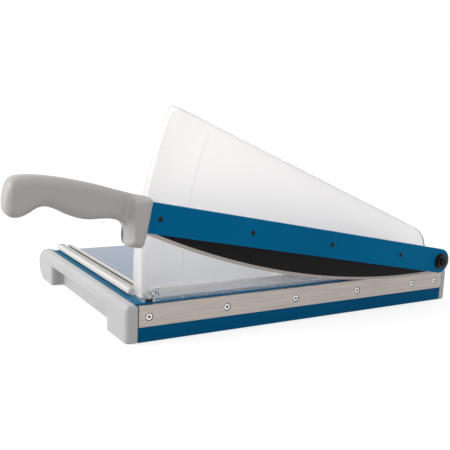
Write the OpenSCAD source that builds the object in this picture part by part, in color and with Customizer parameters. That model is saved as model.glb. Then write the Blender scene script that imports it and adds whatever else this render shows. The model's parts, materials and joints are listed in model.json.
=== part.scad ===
// Guillotine paper trimmer: a sheet-metal table with a fixed cutting edge along its right side, a hinged
// arm that carries the curved knife, and a clear guard that floats on two pins and presses the paper down.
// Lengths are in millimetres. +Z is up, +Y runs from the user to the pivot, +X is the cutting side.

/* [Table] */
// Length of the cutting edge and of the base between its end caps
rail_len = 423; // [400:1:450]
// Width of the base from its left end to the cutting face
base_w = 300; // [280:1:330]
// Height of the table top above the desk
table_z = 40; // [37:0.5:46]
// Thickness of the table sheet
sheet_t = 2; // [1.5:0.1:2.5]
// Inner radius of the sheet's folded left edge
fold_in_r = 1.5; // [0.5:0.1:4]
// Rounding of the sheet's right edge, next to the cutting edge
sheet_edge_r = 1.5; // [0.5:0.1:1.5]
// How far the sheet runs past each end of the cutting edge
sheet_over = 2.8; // [1:0.1:3]
// Height of the steel base above the desk
base_lift = 0.5; // [0.3:0.1:2]
// Thickness of the right-hand side beam
beam_t = 10; // [9.5:0.5:14]
// Set-back of the side beam's face below the cutting edge
beam_set = 0.8; // [0.4:0.1:2]
// Thickness of the cross members under the table
cross_t = 2; // [1.5:0.1:3]
// Height of a cross member's upright web
cross_h = 29; // [26:0.5:30]
// Width of a cross member's flange under the sheet
cross_w = 22; // [20:0.5:30]

/* [Cutting edge] */
// Thickness of the cutting edge bar
rail_t = 4; // [3.5:0.1:5]
// Height of the cutting edge bar
rail_h = 22.2; // [20:0.1:24]
// Depth of the bar's top below the table top
rail_drop = 1.3; // [0.5:0.1:2]
// Distance of the first screw from the front end
rail_screw_front = 11.2; // [8:0.1:20]
// Distance of the last screw from the rear end
rail_screw_rear = 12.3; // [10:0.1:13]
// Distance between the last two screws
rail_screw_pair = 39.5; // [30:0.5:45]
// Number of evenly spaced screws ahead of the last one
rail_screw_count = 5; // [3:1:7]
// Depth of the screw line below the bar's top
rail_screw_drop = 12; // [9:0.1:14]
// Shank radius of the bar's screws
rail_screw_r = 2.5; // [2:0.1:3]
// Head radius of the bar's screws
rail_screw_head_r = 3.4; // [3.2:0.1:4.5]
// Length of the bar's screws
rail_screw_len = 12; // [9:0.1:13]

/* [End caps] */
// Reach of the front cap past the cutting edge
front_nose = 13.2; // [12:0.1:18]
// Reach of the rear cap past the cutting edge
rear_nose = 11; // [9.5:0.1:16]
// Depth of the front cap under the table
front_cap_in = 4.2; // [4:0.1:8]
// Depth of the rear cap under the table
rear_cap_in = 14; // [12:0.1:18]
// Height of the caps' top above the table top
cap_rise = 0.8; // [0.2:0.1:1.5]
// Rounding of the cap's top edge
cap_edge_r = 4; // [2:0.1:5]
// Rounding of the cap's upright corners and of the recess's front edges
cap_corner_r = 3.5; // [2:0.5:5]
// Set-back of the caps' right end from the cutting face
cap_gap = 0.4; // [0.2:0.1:1]
// Stand-out of the caps' round ends past the sheet's left side
cap_side = 26.5; // [20:0.5:32]
// Wall between the cap's pockets and its faces
cap_wall = 3; // [2:0.1:4]
// Half width of the screw bosses inside the caps
cap_boss = 6; // [4:0.5:8]
// Left foot width, beside the finger recess
foot_left = 57.5; // [52:0.5:75]
// Right foot width, beside the finger recess
foot_right = 54; // [40:0.5:70]
// Height of the finger recess
recess_h = 25.5; // [16:0.5:26]
// Distance of the recess's back wall behind the cutting edge's front end
recess_back = 1.5; // [0:0.1:2]
// Radius of the rubber feet
pad_r = 6; // [4:0.5:6.5]
// Thickness of the rubber feet
pad_t = 2.5; // [1.5:0.1:4]
// How far the rubber feet stand out below the caps
pad_out = 0.4; // [0.3:0.1:1.5]

/* [Guide rail] */
// Distance of the guide rail's front face behind the cutting edge's front end
guide_y = 4.3; // [2:0.1:8]
// Height of the guide rail's front wall
guide_h = 7.5; // [6:0.1:10]
// Height of the guide rail's rear wall
guide_rear_h = 6; // [5:0.1:9]
// Thickness of the guide rail's front wall
guide_front_w = 8.2; // [7:0.1:10]
// Width of the guide rail's slot
guide_slot_w = 5.8; // [5.4:0.1:7]
// Thickness of the guide rail's rear wall
guide_rear_w = 5.5; // [4:0.1:8]
// Floor thickness under the slot
guide_floor = 2; // [1.5:0.1:3]
// Set-back of the guide rail's foot under its front wall
guide_foot_in = 2.5; // [1:0.1:3]
// Height of the guide rail's foot
guide_foot_h = 2.4; // [1.5:0.1:3]
// Rounding of the guide rail's top edges
guide_edge_r = 2; // [0.5:0.1:2.5]
// Distance of the guide rail's right end from the cutting face
guide_end = 34; // [32:0.5:60]
// Width of the scale strip let into the front wall
scale_w = 4.6; // [3:0.1:5]
// Thickness of the scale strip
scale_t = 0.5; // [0.3:0.1:1]

/* [Pivot] */
// Distance of the pivot from the cutting edge's rear end
pivot_inset = 15; // [14.5:0.1:18]
// Height of the pivot above the table top
pivot_rise = 14.4; // [14:0.1:18]
// Radius of the pivot bolt's shoulder
pivot_r = 5; // [4:0.1:5.5]
// Radius of the pivot bolt's threaded end
pivot_thread_r = 3.1; // [2.5:0.1:3.5]
// Radius of the pivot bolt's head
pivot_head_r = 8; // [7:0.1:8.2]
// Thickness of the pivot bolt's head
pivot_head_t = 2.4; // [1.5:0.1:2.6]
// Radius of the bracket's eye
bracket_eye_r = 11; // [10:0.1:12]
// Thickness of the bracket
bracket_t = 6.4; // [5:0.1:7]
// Width of the bracket's foot
bracket_w = 28; // [26:0.5:28.5]
// Thickness of the thrust washer between bracket and knife
thrust_t = 1.1; // [0.6:0.1:2]
// Radius of the black washer under the nut
washer_r = 8.4; // [7:0.1:10]
// Thickness of the black washer
washer_t = 1.6; // [1:0.1:2.5]
// Radius of the disc springs
disc_r = 7; // [6:0.1:7.5]
// Thickness of one disc spring
disc_t = 0.9; // [0.6:0.1:1.2]
// Dish of one disc spring
disc_dish = 0.6; // [0.3:0.1:1]
// Width of the pivot nut across its flats
nut_af = 10; // [9:0.1:12]
// Height of the pivot nut's hexagon
nut_h = 5.2; // [4:0.1:7]
// Height of the pivot nut's locking collar
nut_collar_h = 1.8; // [1:0.1:2.5]

/* [Arm] */
// Angle of the arm above the table in the stored pose
arm_rest = 10.36; // [6:0.01:20]
// Height of the arm bar
arm_h = 30.4; // [29:0.1:32]
// Thickness of the arm bar
arm_t = 6; // [5:0.1:8]
// Start of the handle past the cutting edge's front end, along the arm
arm_over = 1.5; // [1:0.1:6]
// Wall of the arm's bearing bush
bush_wall = 2; // [1.5:0.1:3]
// Length of the tang inside the handle
tang_len = 90; // [60:1:95]
// Height of the tang inside the handle
tang_h = 15; // [12:0.5:16]

/* [Knife] */
// Thickness of the knife
knife_t = 3; // [2:0.1:4]
// Gap between the knife and the cutting edge
knife_gap = 0.2; // [0.1:0.05:0.4]
// Radius of the knife's curved edge
knife_edge_r = 880; // [700:10:1200]
// Depth of the edge's belly below the pivot line
knife_belly = 40.8; // [38:0.1:46]
// Width of the knife above the pivot line
knife_back = 10; // [8:0.1:12]
// Width of the ground bevel
bevel_w = 3.7; // [2:0.1:6]
// Thickness left at the edge
edge_land = 0.3; // [0.2:0.1:0.8]
// Distance of the first knife screw from the pivot
knife_screw_first = 71; // [50:1:80]
// Distance of the last knife screw from the handle
knife_screw_last = 11; // [8:0.5:20]
// Number of knife screws
knife_screw_count = 4; // [3:1:5]
// Shank radius of the knife screws
knife_screw_r = 2; // [1.5:0.1:2.5]
// Head radius of the knife screws
knife_screw_head_r = 2.6; // [2.6:0.1:4]
// Head height of the knife screws
knife_screw_head_h = 0.9; // [0.5:0.1:1.5]

/* [Handle] */
// Length of the handle
handle_len = 139.5; // [130:0.5:150]
// Depth of the handle from its inner cover to its outer face
handle_d = 25; // [20:0.5:30]
// Gap between the handle's inner face and the plane of the cutting face
handle_gap = 0.8; // [0.5:0.1:1.2]
// Height of the handle's top above the pivot line at the hand stop
handle_top = 19; // [17:0.5:21]
// Height of the grip's crown above the pivot line
grip_crown = 24; // [22:0.5:26]
// Depth of the grip's belly below the pivot line
grip_belly = 10; // [8:0.5:12]
// Depth of the pommel's hook below the pivot line
hook_drop = 17.5; // [15:0.5:19]
// Depth of the hand stop below the pivot line
stop_drop = 30.5; // [28:0.5:34]
// Width of the hand stop along the arm
stop_w = 25; // [22:0.5:28]
// Share of its half width by which the handle's outer face draws in
handle_dome = 0.45; // [0.2:0.05:0.6]
// Depth over which the handle's outer face is domed
handle_dome_d = 10; // [6:0.5:12]

/* [Guard] */
// Thickness of the guard sheet
guard_t = 3; // [2:0.1:3.5]
// Distance of the guard's outer face behind the cutting face
guard_in = 13.5; // [13.5:0.1:16]
// Distance of the guard's foremost line behind the cutting edge's front end
guard_front = 6.5; // [5:0.1:9]
// Radius of the guard's curved front
guard_front_r = 390; // [360:1:420]
// Height of the guard's foremost line above the table
guard_front_h = 38; // [30:1:50]
// Height of the guard's front top corner above the table
guard_h = 194; // [170:1:210]
// Slope of the guard's top edge
guard_slope = 22.1; // [18:0.1:23]
// Gap between the guard's rear edge and the pivot bolt's head
guard_rear = 0.6; // [0.4:0.1:4]
// Rounding of the guard's rear top corner
guard_corner_r = 22; // [10:1:26]
// Width of the guard's front flange
flange_w = 11.5; // [9:0.1:14]
// Width of the flange's foot
flange_foot_w = 16; // [14:0.1:17]
// Height of the flange's foot
flange_foot_h = 22; // [10:1:40]

/* [Clamp] */
// Lift of the clamp foot above the table
clamp_lift = 2; // [1.5:0.1:2.5]
// Width of the clamp foot
foot_w = 8; // [6:0.1:12]
// Height of the clamp foot
foot_h = 8.5; // [6:0.1:12]
// Distance of the guide pins behind the cutting face
pin_in = 9.2; // [9:0.1:10]
// Distance of the front guide pin behind the cutting edge's front end
pin_front = 14.5; // [14:0.1:18]
// Distance of the rear guide pin ahead of the pivot
pin_rear = 30; // [26:0.5:60]
// Radius of the guide pins
pin_r = 2; // [1.5:0.1:2.4]
// Radius of the guide pins' heads
pin_head_r = 2.7; // [2.6:0.1:3.5]
// Height of the guide pins' heads
pin_head_h = 2.6; // [1.5:0.1:4]
// Depth of the guide pins' threads
pin_thread = 9; // [6:0.5:12]
// Height of the rubber rings under the guard's lugs
ring_h = 3; // [2.5:0.1:4]
// Outer radius of the rubber rings
ring_r = 4; // [3.2:0.1:4]
// Thickness of the guard's lugs
lug_t = 4; // [3:0.1:5]
// Half width of the guard's lugs
lug_half = 4.5; // [3.5:0.1:4.8]
// Length of the notch round the front pin
notch_len = 18; // [14:0.5:22]
// Height of the notch round the front pin
notch_h = 8.5; // [8:0.1:12]

/* [Hidden] */
$fn = 64;

// Radial clearance of screws in their holes and of the bolt in the bracket
fit = 0.05;
// Radial running clearance of the bush on the bolt and of the lugs on the pins
run = 0.06;
// Gap between flat faces that only lie side by side
lay = 0.1;
// How far a cut runs past the face that it opens
over = 1;

// Heights
sheet_z0 = table_z - sheet_t;
rail_z1 = table_z - rail_drop;
rail_z0 = rail_z1 - rail_h;
rail_screw_z = rail_z1 - rail_screw_drop;
cap_z0 = pad_out;
cap_z1 = table_z + cap_rise;
pivot_z = table_z + pivot_rise;

// Depths across the cutting edge, counted from the cutting face
beam_x0 = -rail_t - beam_t;
sheet_x0 = -base_w + cap_side;
sheet_x1 = -rail_t - lay;
skirt_x1 = sheet_x0 + sheet_t + fold_in_r;
cap_x0 = -base_w;
cap_x1 = -cap_gap;
recess_x0 = cap_x0 + foot_left;
recess_x1 = -foot_right;
bracket_x0 = -rail_t - bracket_t;
knife_x0 = knife_gap;
arm_x0 = knife_x0 + knife_t;
arm_x1 = arm_x0 + arm_t;
shoulder_x1 = arm_x1 + 2 * lay;
disc_pack = 2 * (disc_t + disc_dish);
washer_x1 = shoulder_x1 + washer_t;
nut_x0 = washer_x1 + disc_pack;
nut_x1 = nut_x0 + nut_h + nut_collar_h;
bolt_tip = 1.2;
bolt_x1 = nut_x1 + bolt_tip;
guard_x1 = -guard_in;
guard_x0 = guard_x1 - guard_t;

// Places along the cutting edge, counted from its front end
pivot_y = rail_len - pivot_inset;
bracket_y0 = pivot_y - bracket_w / 2;
rail_screw_step = (rail_len - rail_screw_front - rail_screw_rear - rail_screw_pair) / (rail_screw_count - 1);
rail_screw_even = [for (i = [0 : rail_screw_count - 1]) rail_screw_front + i * rail_screw_step];
rail_screw_ys = concat(rail_screw_even, [rail_len - rail_screw_rear]);
pin_ys = [pin_front, pivot_y - pin_rear];
guard_y1 = pivot_y - pivot_head_r - guard_rear;

// Rim of the caps round the rubber feet
pad_rim = 1.5;

// Screws inside the caps
cap_boss_count = 5;
cap_boss_left = 1;
cap_boss_right = 5;
cap_boss_first = skirt_x1 + cap_wall + cap_boss + cap_boss_left;
cap_boss_last = beam_x0 - cap_boss - cap_boss_right;
cap_boss_step = (cap_boss_last - cap_boss_first) / (cap_boss_count - 1);
cap_boss_xs = [for (i = [0 : cap_boss_count - 1]) cap_boss_first + i * cap_boss_step];
cap_boss_z = (recess_h + sheet_z0) / 2;
cap_screw_xs = [cap_boss_xs[0], cap_boss_xs[2], cap_boss_xs[4]];
cap_screw_r = 1.5;
cap_screw_in = 9;
pan_head_r = 2.8;
pan_head_h = 1.6;

// Guide rail
guide_x0 = sheet_x0 + lay;
guide_x1 = -guide_end;
guide_slot_y = guide_y + guide_front_w;
guide_rear_y = guide_slot_y + guide_slot_w;
guide_back_y = guide_rear_y + guide_rear_w;
guide_screw_y = guide_slot_y + guide_slot_w / 2;
guide_screw_inset = 25;
guide_screw_mid = (guide_x0 + guide_x1) / 2;
guide_screw_xs = [guide_x0 + guide_screw_inset, guide_screw_mid, guide_x1 - guide_screw_inset];
guide_screw_r = 1.5;
guide_screw_end = 1;
scale_set = 0.4;
scale_y = guide_y + guide_edge_r + scale_set;
scale_z1 = table_z + guide_h;

// Bracket screws, from inside the beam, one above the other between the rail's foot and the cross member
bracket_screw_r = 2;
bracket_screw_head_r = 3.4;
bracket_screw_head_h = 3;
bracket_screw_bite = 5;
bracket_screw_in = 4;
bracket_screw_rise = 3.5;
bracket_screw_free = 0.6;
bracket_screw_y = bracket_y0 + bracket_screw_in;
bracket_screw_top = sheet_z0 - cross_t - bracket_screw_head_r - bracket_screw_free;
bracket_screw_zs = [rail_z0 + bracket_screw_rise, bracket_screw_top];
bracket_foot_drop = 3;
bracket_foot_z = rail_z0 - bracket_foot_drop;

// Clamp and guard
ring_free = 0.3;
ring_out_r = min(ring_r, guard_in - pin_in - ring_free);
lug_z0 = table_z + ring_h;
lug_z1 = lug_z0 + lug_t;
guard_z0 = table_z + clamp_lift;
guard_top_set = 33;
guard_top = [guard_front + guard_top_set, table_z + guard_h];
function guard_top_at(y) = guard_top[1] - (y - guard_top[0]) * tan(guard_slope);
guard_corner = [
    guard_y1 - guard_corner_r,
    guard_top_at(guard_y1 - guard_corner_r) - guard_corner_r / cos(guard_slope)
];
guard_center = [guard_front + guard_front_r, table_z + guard_front_h];
flange_x0 = guard_x1 - flange_w;
flange_foot_x0 = guard_x1 - flange_foot_w;
notch_y1 = pin_front - lug_half + notch_len;
lug_x1 = -pin_in + lug_half;

// Arm, knife and handle, counted along the arm from the pivot
arm_len = pivot_y + arm_over;
arm_half = arm_h / 2;
bush_r = pivot_r + run + bush_wall;
knife_len = arm_len - arm_over;
knife_axis_u = arm_len / 2;
knife_axis_w = knife_edge_r - knife_belly;
knife_screw_step = (arm_len - knife_screw_last - knife_screw_first) / (knife_screw_count - 1);
knife_screw_us = [for (i = [0 : knife_screw_count - 1]) knife_screw_first + i * knife_screw_step];
knife_screw_end = 0.3;
knife_screw_bite = knife_t - knife_screw_end;
knife_eye = 6.5;
handle_x0 = handle_gap;
handle_x1 = handle_x0 + handle_d;
tang_w0 = -3.5;

// Side outline of the handle: knots from the hand stop's top corner, round the grip and back,
// in hundredths of the handle's length
grip_u = arm_len + stop_w;
tip_u = arm_len + handle_len;
handle_set = 0.8;
handle_pc = handle_len / 100;
handle_knots = [
    [arm_len + 1.4 * handle_pc, handle_top - 0.4 * handle_pc],
    [arm_len + 8.6 * handle_pc, handle_top],
    [grip_u + 5.7 * handle_pc, handle_top + 0.6 * handle_pc],
    [grip_u + 25.8 * handle_pc, grip_crown - 1.4 * handle_pc],
    [tip_u - 34.4 * handle_pc, grip_crown],
    [tip_u - 14.3 * handle_pc, grip_crown - 1.4 * handle_pc],
    [tip_u - 2.9 * handle_pc, grip_crown - 5 * handle_pc],
    [tip_u, grip_crown - 11.5 * handle_pc],
    [tip_u - 0.1 * handle_pc, 2.9 * handle_pc - hook_drop / 2],
    [tip_u - 3.6 * handle_pc, 1.1 * handle_pc - hook_drop],
    [tip_u - 8.6 * handle_pc, -hook_drop],
    [tip_u - 15.1 * handle_pc, 3.6 * handle_pc - hook_drop],
    [tip_u - 25.1 * handle_pc, 4.3 * handle_pc - grip_belly],
    [tip_u - 38.7 * handle_pc, 1.8 * handle_pc - grip_belly],
    [tip_u - 53.8 * handle_pc, -grip_belly],
    [grip_u + 8.6 * handle_pc, 2.9 * handle_pc - grip_belly],
    [grip_u + 2.9 * handle_pc, -grip_belly],
    [grip_u + 0.4 * handle_pc, 8.6 * handle_pc - stop_drop],
    [grip_u - 0.4 * handle_pc, 3.6 * handle_pc - stop_drop],
    [grip_u - 5 * handle_pc, -stop_drop],
    [arm_len + 5.7 * handle_pc, -stop_drop],
    [arm_len + 1.4 * handle_pc, 2.5 * handle_pc - stop_drop],
    [arm_len + handle_set, 7.2 * handle_pc - stop_drop],
    [arm_len + handle_set, 0],
    [arm_len + handle_set, handle_top - 3.6 * handle_pc]
];
core_w = 4.7 * handle_pc;
hook_core = 8.6 * handle_pc;
stop_blend = 4.3 * handle_pc;
knot_steps = 2;
handle_outline = closed_curve(handle_knots, knot_steps);
handle_screw_at = [
    [arm_len + stop_w / 2, 4.3 * handle_pc],
    [arm_len + 50 * handle_pc, 4.3 * handle_pc],
    [tip_u - 10.8 * handle_pc, 2.2 * handle_pc]
];
handle_screw_r = 1.5;
handle_screw_head_r = 2.6;
handle_screw_len = 12;
dome_steps = 4;
// Share by which the dome's foot stands inside the straight part
dome_ledge = 0.02;

// Place of the cutting edge's front end, with the origin under the middle of the whole machine
function arm_y(p) = pivot_y - p[0] * cos(arm_rest) + p[1] * sin(arm_rest);
handle_tip_y = min([for (p = handle_outline) arm_y(p)]);
cut_x = (base_w - handle_x1) / 2;
front_y = -(rail_len + rear_nose + handle_tip_y) / 2;

// Points of an arc from angle a0 to a1
function arc(c, r, a0, a1, n = 16) =
    [for (i = [0 : n]) let (a = a0 + (a1 - a0) * i / n) [c[0] + r * cos(a), c[1] + r * sin(a)]];

// Smooth closed curve through a ring of knots
function blend(a, b, c, d, t) =
    b + 0.5 * t * (c - a + t * (2 * a - 5 * b + 4 * c - d + t * (3 * (b - c) + d - a)));
function wrap(p, i) = p[(i + len(p)) % len(p)];
function closed_curve(p, n) = [
    for (i = [0 : len(p) - 1]) for (k = [0 : n - 1])
        blend(wrap(p, i - 1), p[i], wrap(p, i + 1), wrap(p, i + 2), k / n)
];

// Point of the handle's core line that an outline point is drawn towards
function core_point(p) = p[0] < grip_u + stop_blend && p[1] < core_w
    ? [arm_len + stop_w / 2, max(p[1], stop_w / 2 - stop_drop)]
    : [min(max(p[0], arm_len + stop_w / 2), tip_u - hook_core), core_w];
function drawn_in(points, share) = [for (p = points) p + share * (core_point(p) - p)];

// Carries the cutting edge's front end to its place
module bench() {
    translate([cut_x, front_y, 0]) children();
}

// Carries the pivot to its place, with the arm along -Y at its stored angle
module on_arm() {
    bench() translate([0, pivot_y, pivot_z]) rotate([-arm_rest, 0, 0]) children();
}

// Side shapes, drawn in (y, z), across a depth in x
module along_x(x0, x1) {
    translate([x0, 0, 0]) rotate([90, 0, 90]) linear_extrude(x1 - x0) children();
}

// Cross sections, drawn in (x, z), along a length in y
module along_y(y0, y1) {
    translate([0, y1, 0]) rotate([90, 0, 0]) linear_extrude(y1 - y0) children();
}

// Round bars along x, y and z
module bar_x(x0, x1, y, z, r) {
    translate([x0, y, z]) rotate([0, 90, 0]) cylinder(h = x1 - x0, r = r);
}

module bar_y(y0, y1, x, z, r) {
    translate([x, y0, z]) rotate([-90, 0, 0]) cylinder(h = y1 - y0, r = r);
}

module bar_z(z0, z1, x, y, r) {
    translate([x, y, z0]) cylinder(h = z1 - z0, r = r);
}

// Box between two corners
module block(a, b) {
    translate(a) cube(b - a);
}

// Copy for the rear end of the machine
module at_rear() {
    translate([0, rail_len, 0]) mirror([0, 1, 0]) children();
}

// Countersunk screw along -x, its head flush with the face at x; grow widens it into its own hole
module sunk_screw(x, y, z, length, shank_r, head_r, grow) {
    bar_x(x - length - grow, x, y, z, shank_r + grow);
    translate([x, y, z]) rotate([0, -90, 0])
        cylinder(h = head_r - shank_r, r1 = head_r + grow, r2 = shank_r + grow);
}

// Table sheet, folded down along its left side
module table_section() {
    fold_out_r = fold_in_r + sheet_t;
    fold_c = [sheet_x0 + fold_out_r, table_z - fold_out_r];
    edge_r = min(sheet_edge_r, sheet_t);
    polygon(concat(
        [[sheet_x0, base_lift]],
        arc(fold_c, fold_out_r, 180, 90),
        arc([sheet_x1 - edge_r, table_z - edge_r], edge_r, 90, 0),
        [[sheet_x1, sheet_z0]],
        arc(fold_c, fold_in_r, 90, 180),
        [[sheet_x0 + sheet_t, base_lift]]
    ));
}

module table_plate() {
    color("steelblue") bench() difference() {
        along_y(-sheet_over, rail_len + sheet_over) table_section();
        block([bracket_x0 - lay, bracket_y0 - lay, sheet_z0 - over],
              [sheet_x1 + over, bracket_y0 + bracket_w + lay, table_z + over]);
        for (y = pin_ys) bar_z(sheet_z0 - over, table_z + over, -pin_in, y, pin_r + fit);
        for (x = guide_screw_xs)
            bar_z(sheet_z0 - over, table_z + over, x, guide_screw_y, guide_screw_r + fit);
        // The fold's skirt stops at the caps
        for (span = [[-sheet_over - over, 0], [rail_len, rail_len + sheet_over + over]])
            block([sheet_x0 - over, span[0], base_lift - over],
                  [skirt_x1, span[1], sheet_z0]);
    }
}

// Side beam that carries the cutting edge, the bracket and the guide pins
module side_beam() {
    color("steelblue") bench() difference() {
        union() {
            block([beam_x0, 0, base_lift], [-rail_t, rail_len, sheet_z0]);
            block([beam_x0, 0, base_lift], [-beam_set, rail_len, rail_z0]);
        }
        block([bracket_x0 - lay, bracket_y0 - lay, bracket_foot_z],
              [-rail_t + over, rail_len + over, sheet_z0 + over]);
        block([-rail_t - fit, bracket_y0 - lay, rail_z0],
              [0, rail_len + over, sheet_z0 + over]);
        for (y = rail_screw_ys)
            sunk_screw(0, y, rail_screw_z, rail_screw_len, rail_screw_r, rail_screw_head_r, fit);
        for (z = bracket_screw_zs)
            bar_x(beam_x0 - over, bracket_x0, bracket_screw_y, z, bracket_screw_r + fit);
        for (y = pin_ys) bar_z(sheet_z0 - pin_thread, sheet_z0 + over, -pin_in, y, pin_r + fit);
    }
}

// Fixed cutting edge
module counter_blade() {
    color("silver") bench() difference() {
        block([-rail_t, 0, rail_z0], [0, rail_len, rail_z1]);
        for (y = rail_screw_ys)
            sunk_screw(0, y, rail_screw_z, rail_screw_len, rail_screw_r, rail_screw_head_r, fit);
    }
}

module counter_blade_screws() {
    socket_r = 1.6;
    socket_depth = 2;
    color("gainsboro") bench() for (y = rail_screw_ys) difference() {
        sunk_screw(0, y, rail_screw_z, rail_screw_len, rail_screw_r, rail_screw_head_r, 0);
        translate([-socket_depth, y, rail_screw_z]) rotate([0, 90, 0])
            cylinder(h = socket_depth + over, r = socket_r, $fn = 6);
    }
}

// End cap section: upright outer face with a rounded top edge
module cap_section(nose, depth) {
    polygon(concat(
        [[depth, cap_z0], [-nose, cap_z0]],
        arc([cap_edge_r - nose, cap_z1 - cap_edge_r], cap_edge_r, 180, 90),
        [[depth, cap_z1]]
    ));
}

// End cap seen from its end of the machine, round on the left
module cap_front() {
    round_r = (cap_z1 - cap_z0) / 2;
    polygon(concat(
        arc([cap_x0 + round_r, cap_z0 + round_r], round_r, 90, 270, 32),
        [[cap_x1, cap_z0], [cap_x1, cap_z1]]
    ));
}

// End cap plan with a rounded right corner
module cap_plan(nose, depth) {
    polygon(concat(
        [[cap_x0, depth], [cap_x0, -nose]],
        arc([cap_x1 - cap_corner_r, cap_corner_r - nose], cap_corner_r, 270, 360),
        [[cap_x1, depth]]
    ));
}

// Moulded cap, drawn for the front end: outer form less the sheet's and the beam's ends, pockets and holes
module cap_body(nose, depth) {
    difference() {
        intersection() {
            along_x(cap_x0, cap_x1) cap_section(nose, depth);
            along_y(-nose, depth) cap_front();
            linear_extrude(cap_z1 + over) cap_plan(nose, depth);
        }
        block([sheet_x0 - lay, -sheet_over - lay, sheet_z0], [over, depth + over, cap_z1 + over]);
        block([beam_x0 - lay, -lay, cap_z0 - over], [over, depth + over, cap_z1 + over]);
        block([cap_x0 - over, 0, cap_z0 - over], [skirt_x1, depth + over, cap_z1 + over]);
        for (i = [0 : cap_boss_count - 2])
            block([cap_boss_xs[i] + cap_boss, 2 * cap_wall - nose, recess_h + cap_wall],
                  [cap_boss_xs[i + 1] - cap_boss, depth + over, sheet_z0 - cap_wall]);
        for (x = cap_screw_xs) bar_y(depth - cap_screw_in, depth + over, x, cap_boss_z, cap_screw_r + fit);
    }
}

// Places of the rubber feet under a cap, as (x, y) for the front end
function pad_places(depth) = [
    for (x = [(skirt_x1 + recess_x0) / 2, (beam_x0 + recess_x1) / 2]) [x, depth - pad_r - pad_rim]
];

// Wells that hold the rubber feet
module pad_wells(depth) {
    for (p = pad_places(depth)) bar_z(cap_z0 - over, pad_t, p[0], p[1], pad_r + fit);
}

// Plan of the finger recess, its front edges rounded
module recess_plan() {
    r = cap_corner_r;
    front = -front_nose;
    polygon(concat(
        [[recess_x0 - r, front - over]],
        arc([recess_x0 - r, front + r], r, 270, 360),
        [[recess_x0, recess_back], [recess_x1, recess_back]],
        arc([recess_x1 + r, front + r], r, 180, 270),
        [[recess_x1 + r, front - over]]
    ));
}

module front_end_cap() {
    color("lightgray") bench() difference() {
        cap_body(front_nose, front_cap_in);
        translate([0, 0, cap_z0 - over]) linear_extrude(recess_h - cap_z0 + over) recess_plan();
        pad_wells(front_cap_in);
    }
}

module rear_end_cap() {
    color("lightgray") bench() at_rear() difference() {
        cap_body(rear_nose, rear_cap_in);
        pad_wells(rear_cap_in);
    }
}

// Angle under the sheet, behind a cap, drawn for the front end
module cross_member(depth) {
    y0 = depth + lay;
    difference() {
        union() {
            block([skirt_x1, y0, sheet_z0 - cross_h],
                  [beam_x0 - lay, y0 + cross_t, sheet_z0]);
            block([skirt_x1, y0, sheet_z0 - cross_t],
                  [beam_x0 - lay, y0 + cross_w, sheet_z0]);
        }
        for (x = cap_screw_xs) bar_y(depth, y0 + cross_t + over, x, cap_boss_z, cap_screw_r + fit);
        for (x = guide_screw_xs)
            bar_z(sheet_z0 - cross_t - over, sheet_z0 + over, x, guide_screw_y, guide_screw_r + fit);
    }
}

module front_cross_member() {
    color("slategray") bench() cross_member(front_cap_in);
}

module rear_cross_member() {
    color("slategray") bench() at_rear() cross_member(rear_cap_in);
}

// Pan-head screws through a cross member into its cap, drawn for the front end
module cap_screws(depth) {
    seat_y = depth + lay + cross_t;
    for (x = cap_screw_xs) {
        bar_y(depth - cap_screw_in, seat_y, x, cap_boss_z, cap_screw_r);
        bar_y(seat_y, seat_y + pan_head_h, x, cap_boss_z, pan_head_r);
    }
}

module end_cap_screws() {
    color("dimgray") bench() {
        cap_screws(front_cap_in);
        at_rear() cap_screws(rear_cap_in);
    }
}

module rubber_feet() {
    color("black") bench() {
        for (p = pad_places(front_cap_in)) bar_z(0, pad_t, p[0], p[1], pad_r);
        at_rear() for (p = pad_places(rear_cap_in)) bar_z(0, pad_t, p[0], p[1], pad_r);
    }
}

// Guide rail: the paper stop, an extrusion with a slot along its top
module guide_section() {
    z0 = table_z;
    floor_z = z0 + guide_floor;
    r = guide_edge_r;
    polygon(concat(
        [[guide_y + guide_foot_in, z0], [guide_y + guide_foot_in, z0 + guide_foot_h]],
        [[guide_y, z0 + guide_foot_h]],
        arc([guide_y + r, z0 + guide_h - r], r, 180, 90),
        [[guide_slot_y, z0 + guide_h], [guide_slot_y, floor_z]],
        [[guide_rear_y, floor_z], [guide_rear_y, z0 + guide_rear_h]],
        arc([guide_back_y - r, z0 + guide_rear_h - r], r, 90, 0),
        [[guide_back_y, z0]]
    ));
}

module guide_rail() {
    color("gainsboro") bench() difference() {
        along_x(guide_x0, guide_x1) guide_section();
        block([guide_x0 - over, scale_y, scale_z1 - scale_t],
              [guide_x1 + over, scale_y + scale_w, scale_z1 + over]);
        for (x = guide_screw_xs)
            bar_z(table_z - over, table_z + guide_floor + over, x, guide_screw_y, guide_screw_r + fit);
    }
}

// Scale strip, let into the front wall
module scale_strip() {
    color("whitesmoke") bench()
        block([guide_x0, scale_y, scale_z1 - scale_t], [guide_x1, scale_y + scale_w, scale_z1]);
}

module guide_rail_screws() {
    seat_z = table_z + guide_floor;
    color("silver") bench() for (x = guide_screw_xs) {
        bar_z(sheet_z0 - cross_t - guide_screw_end, seat_z, x, guide_screw_y, guide_screw_r);
        bar_z(seat_z, seat_z + pan_head_h, x, guide_screw_y, guide_slot_w / 2 - 2 * lay);
    }
}

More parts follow.
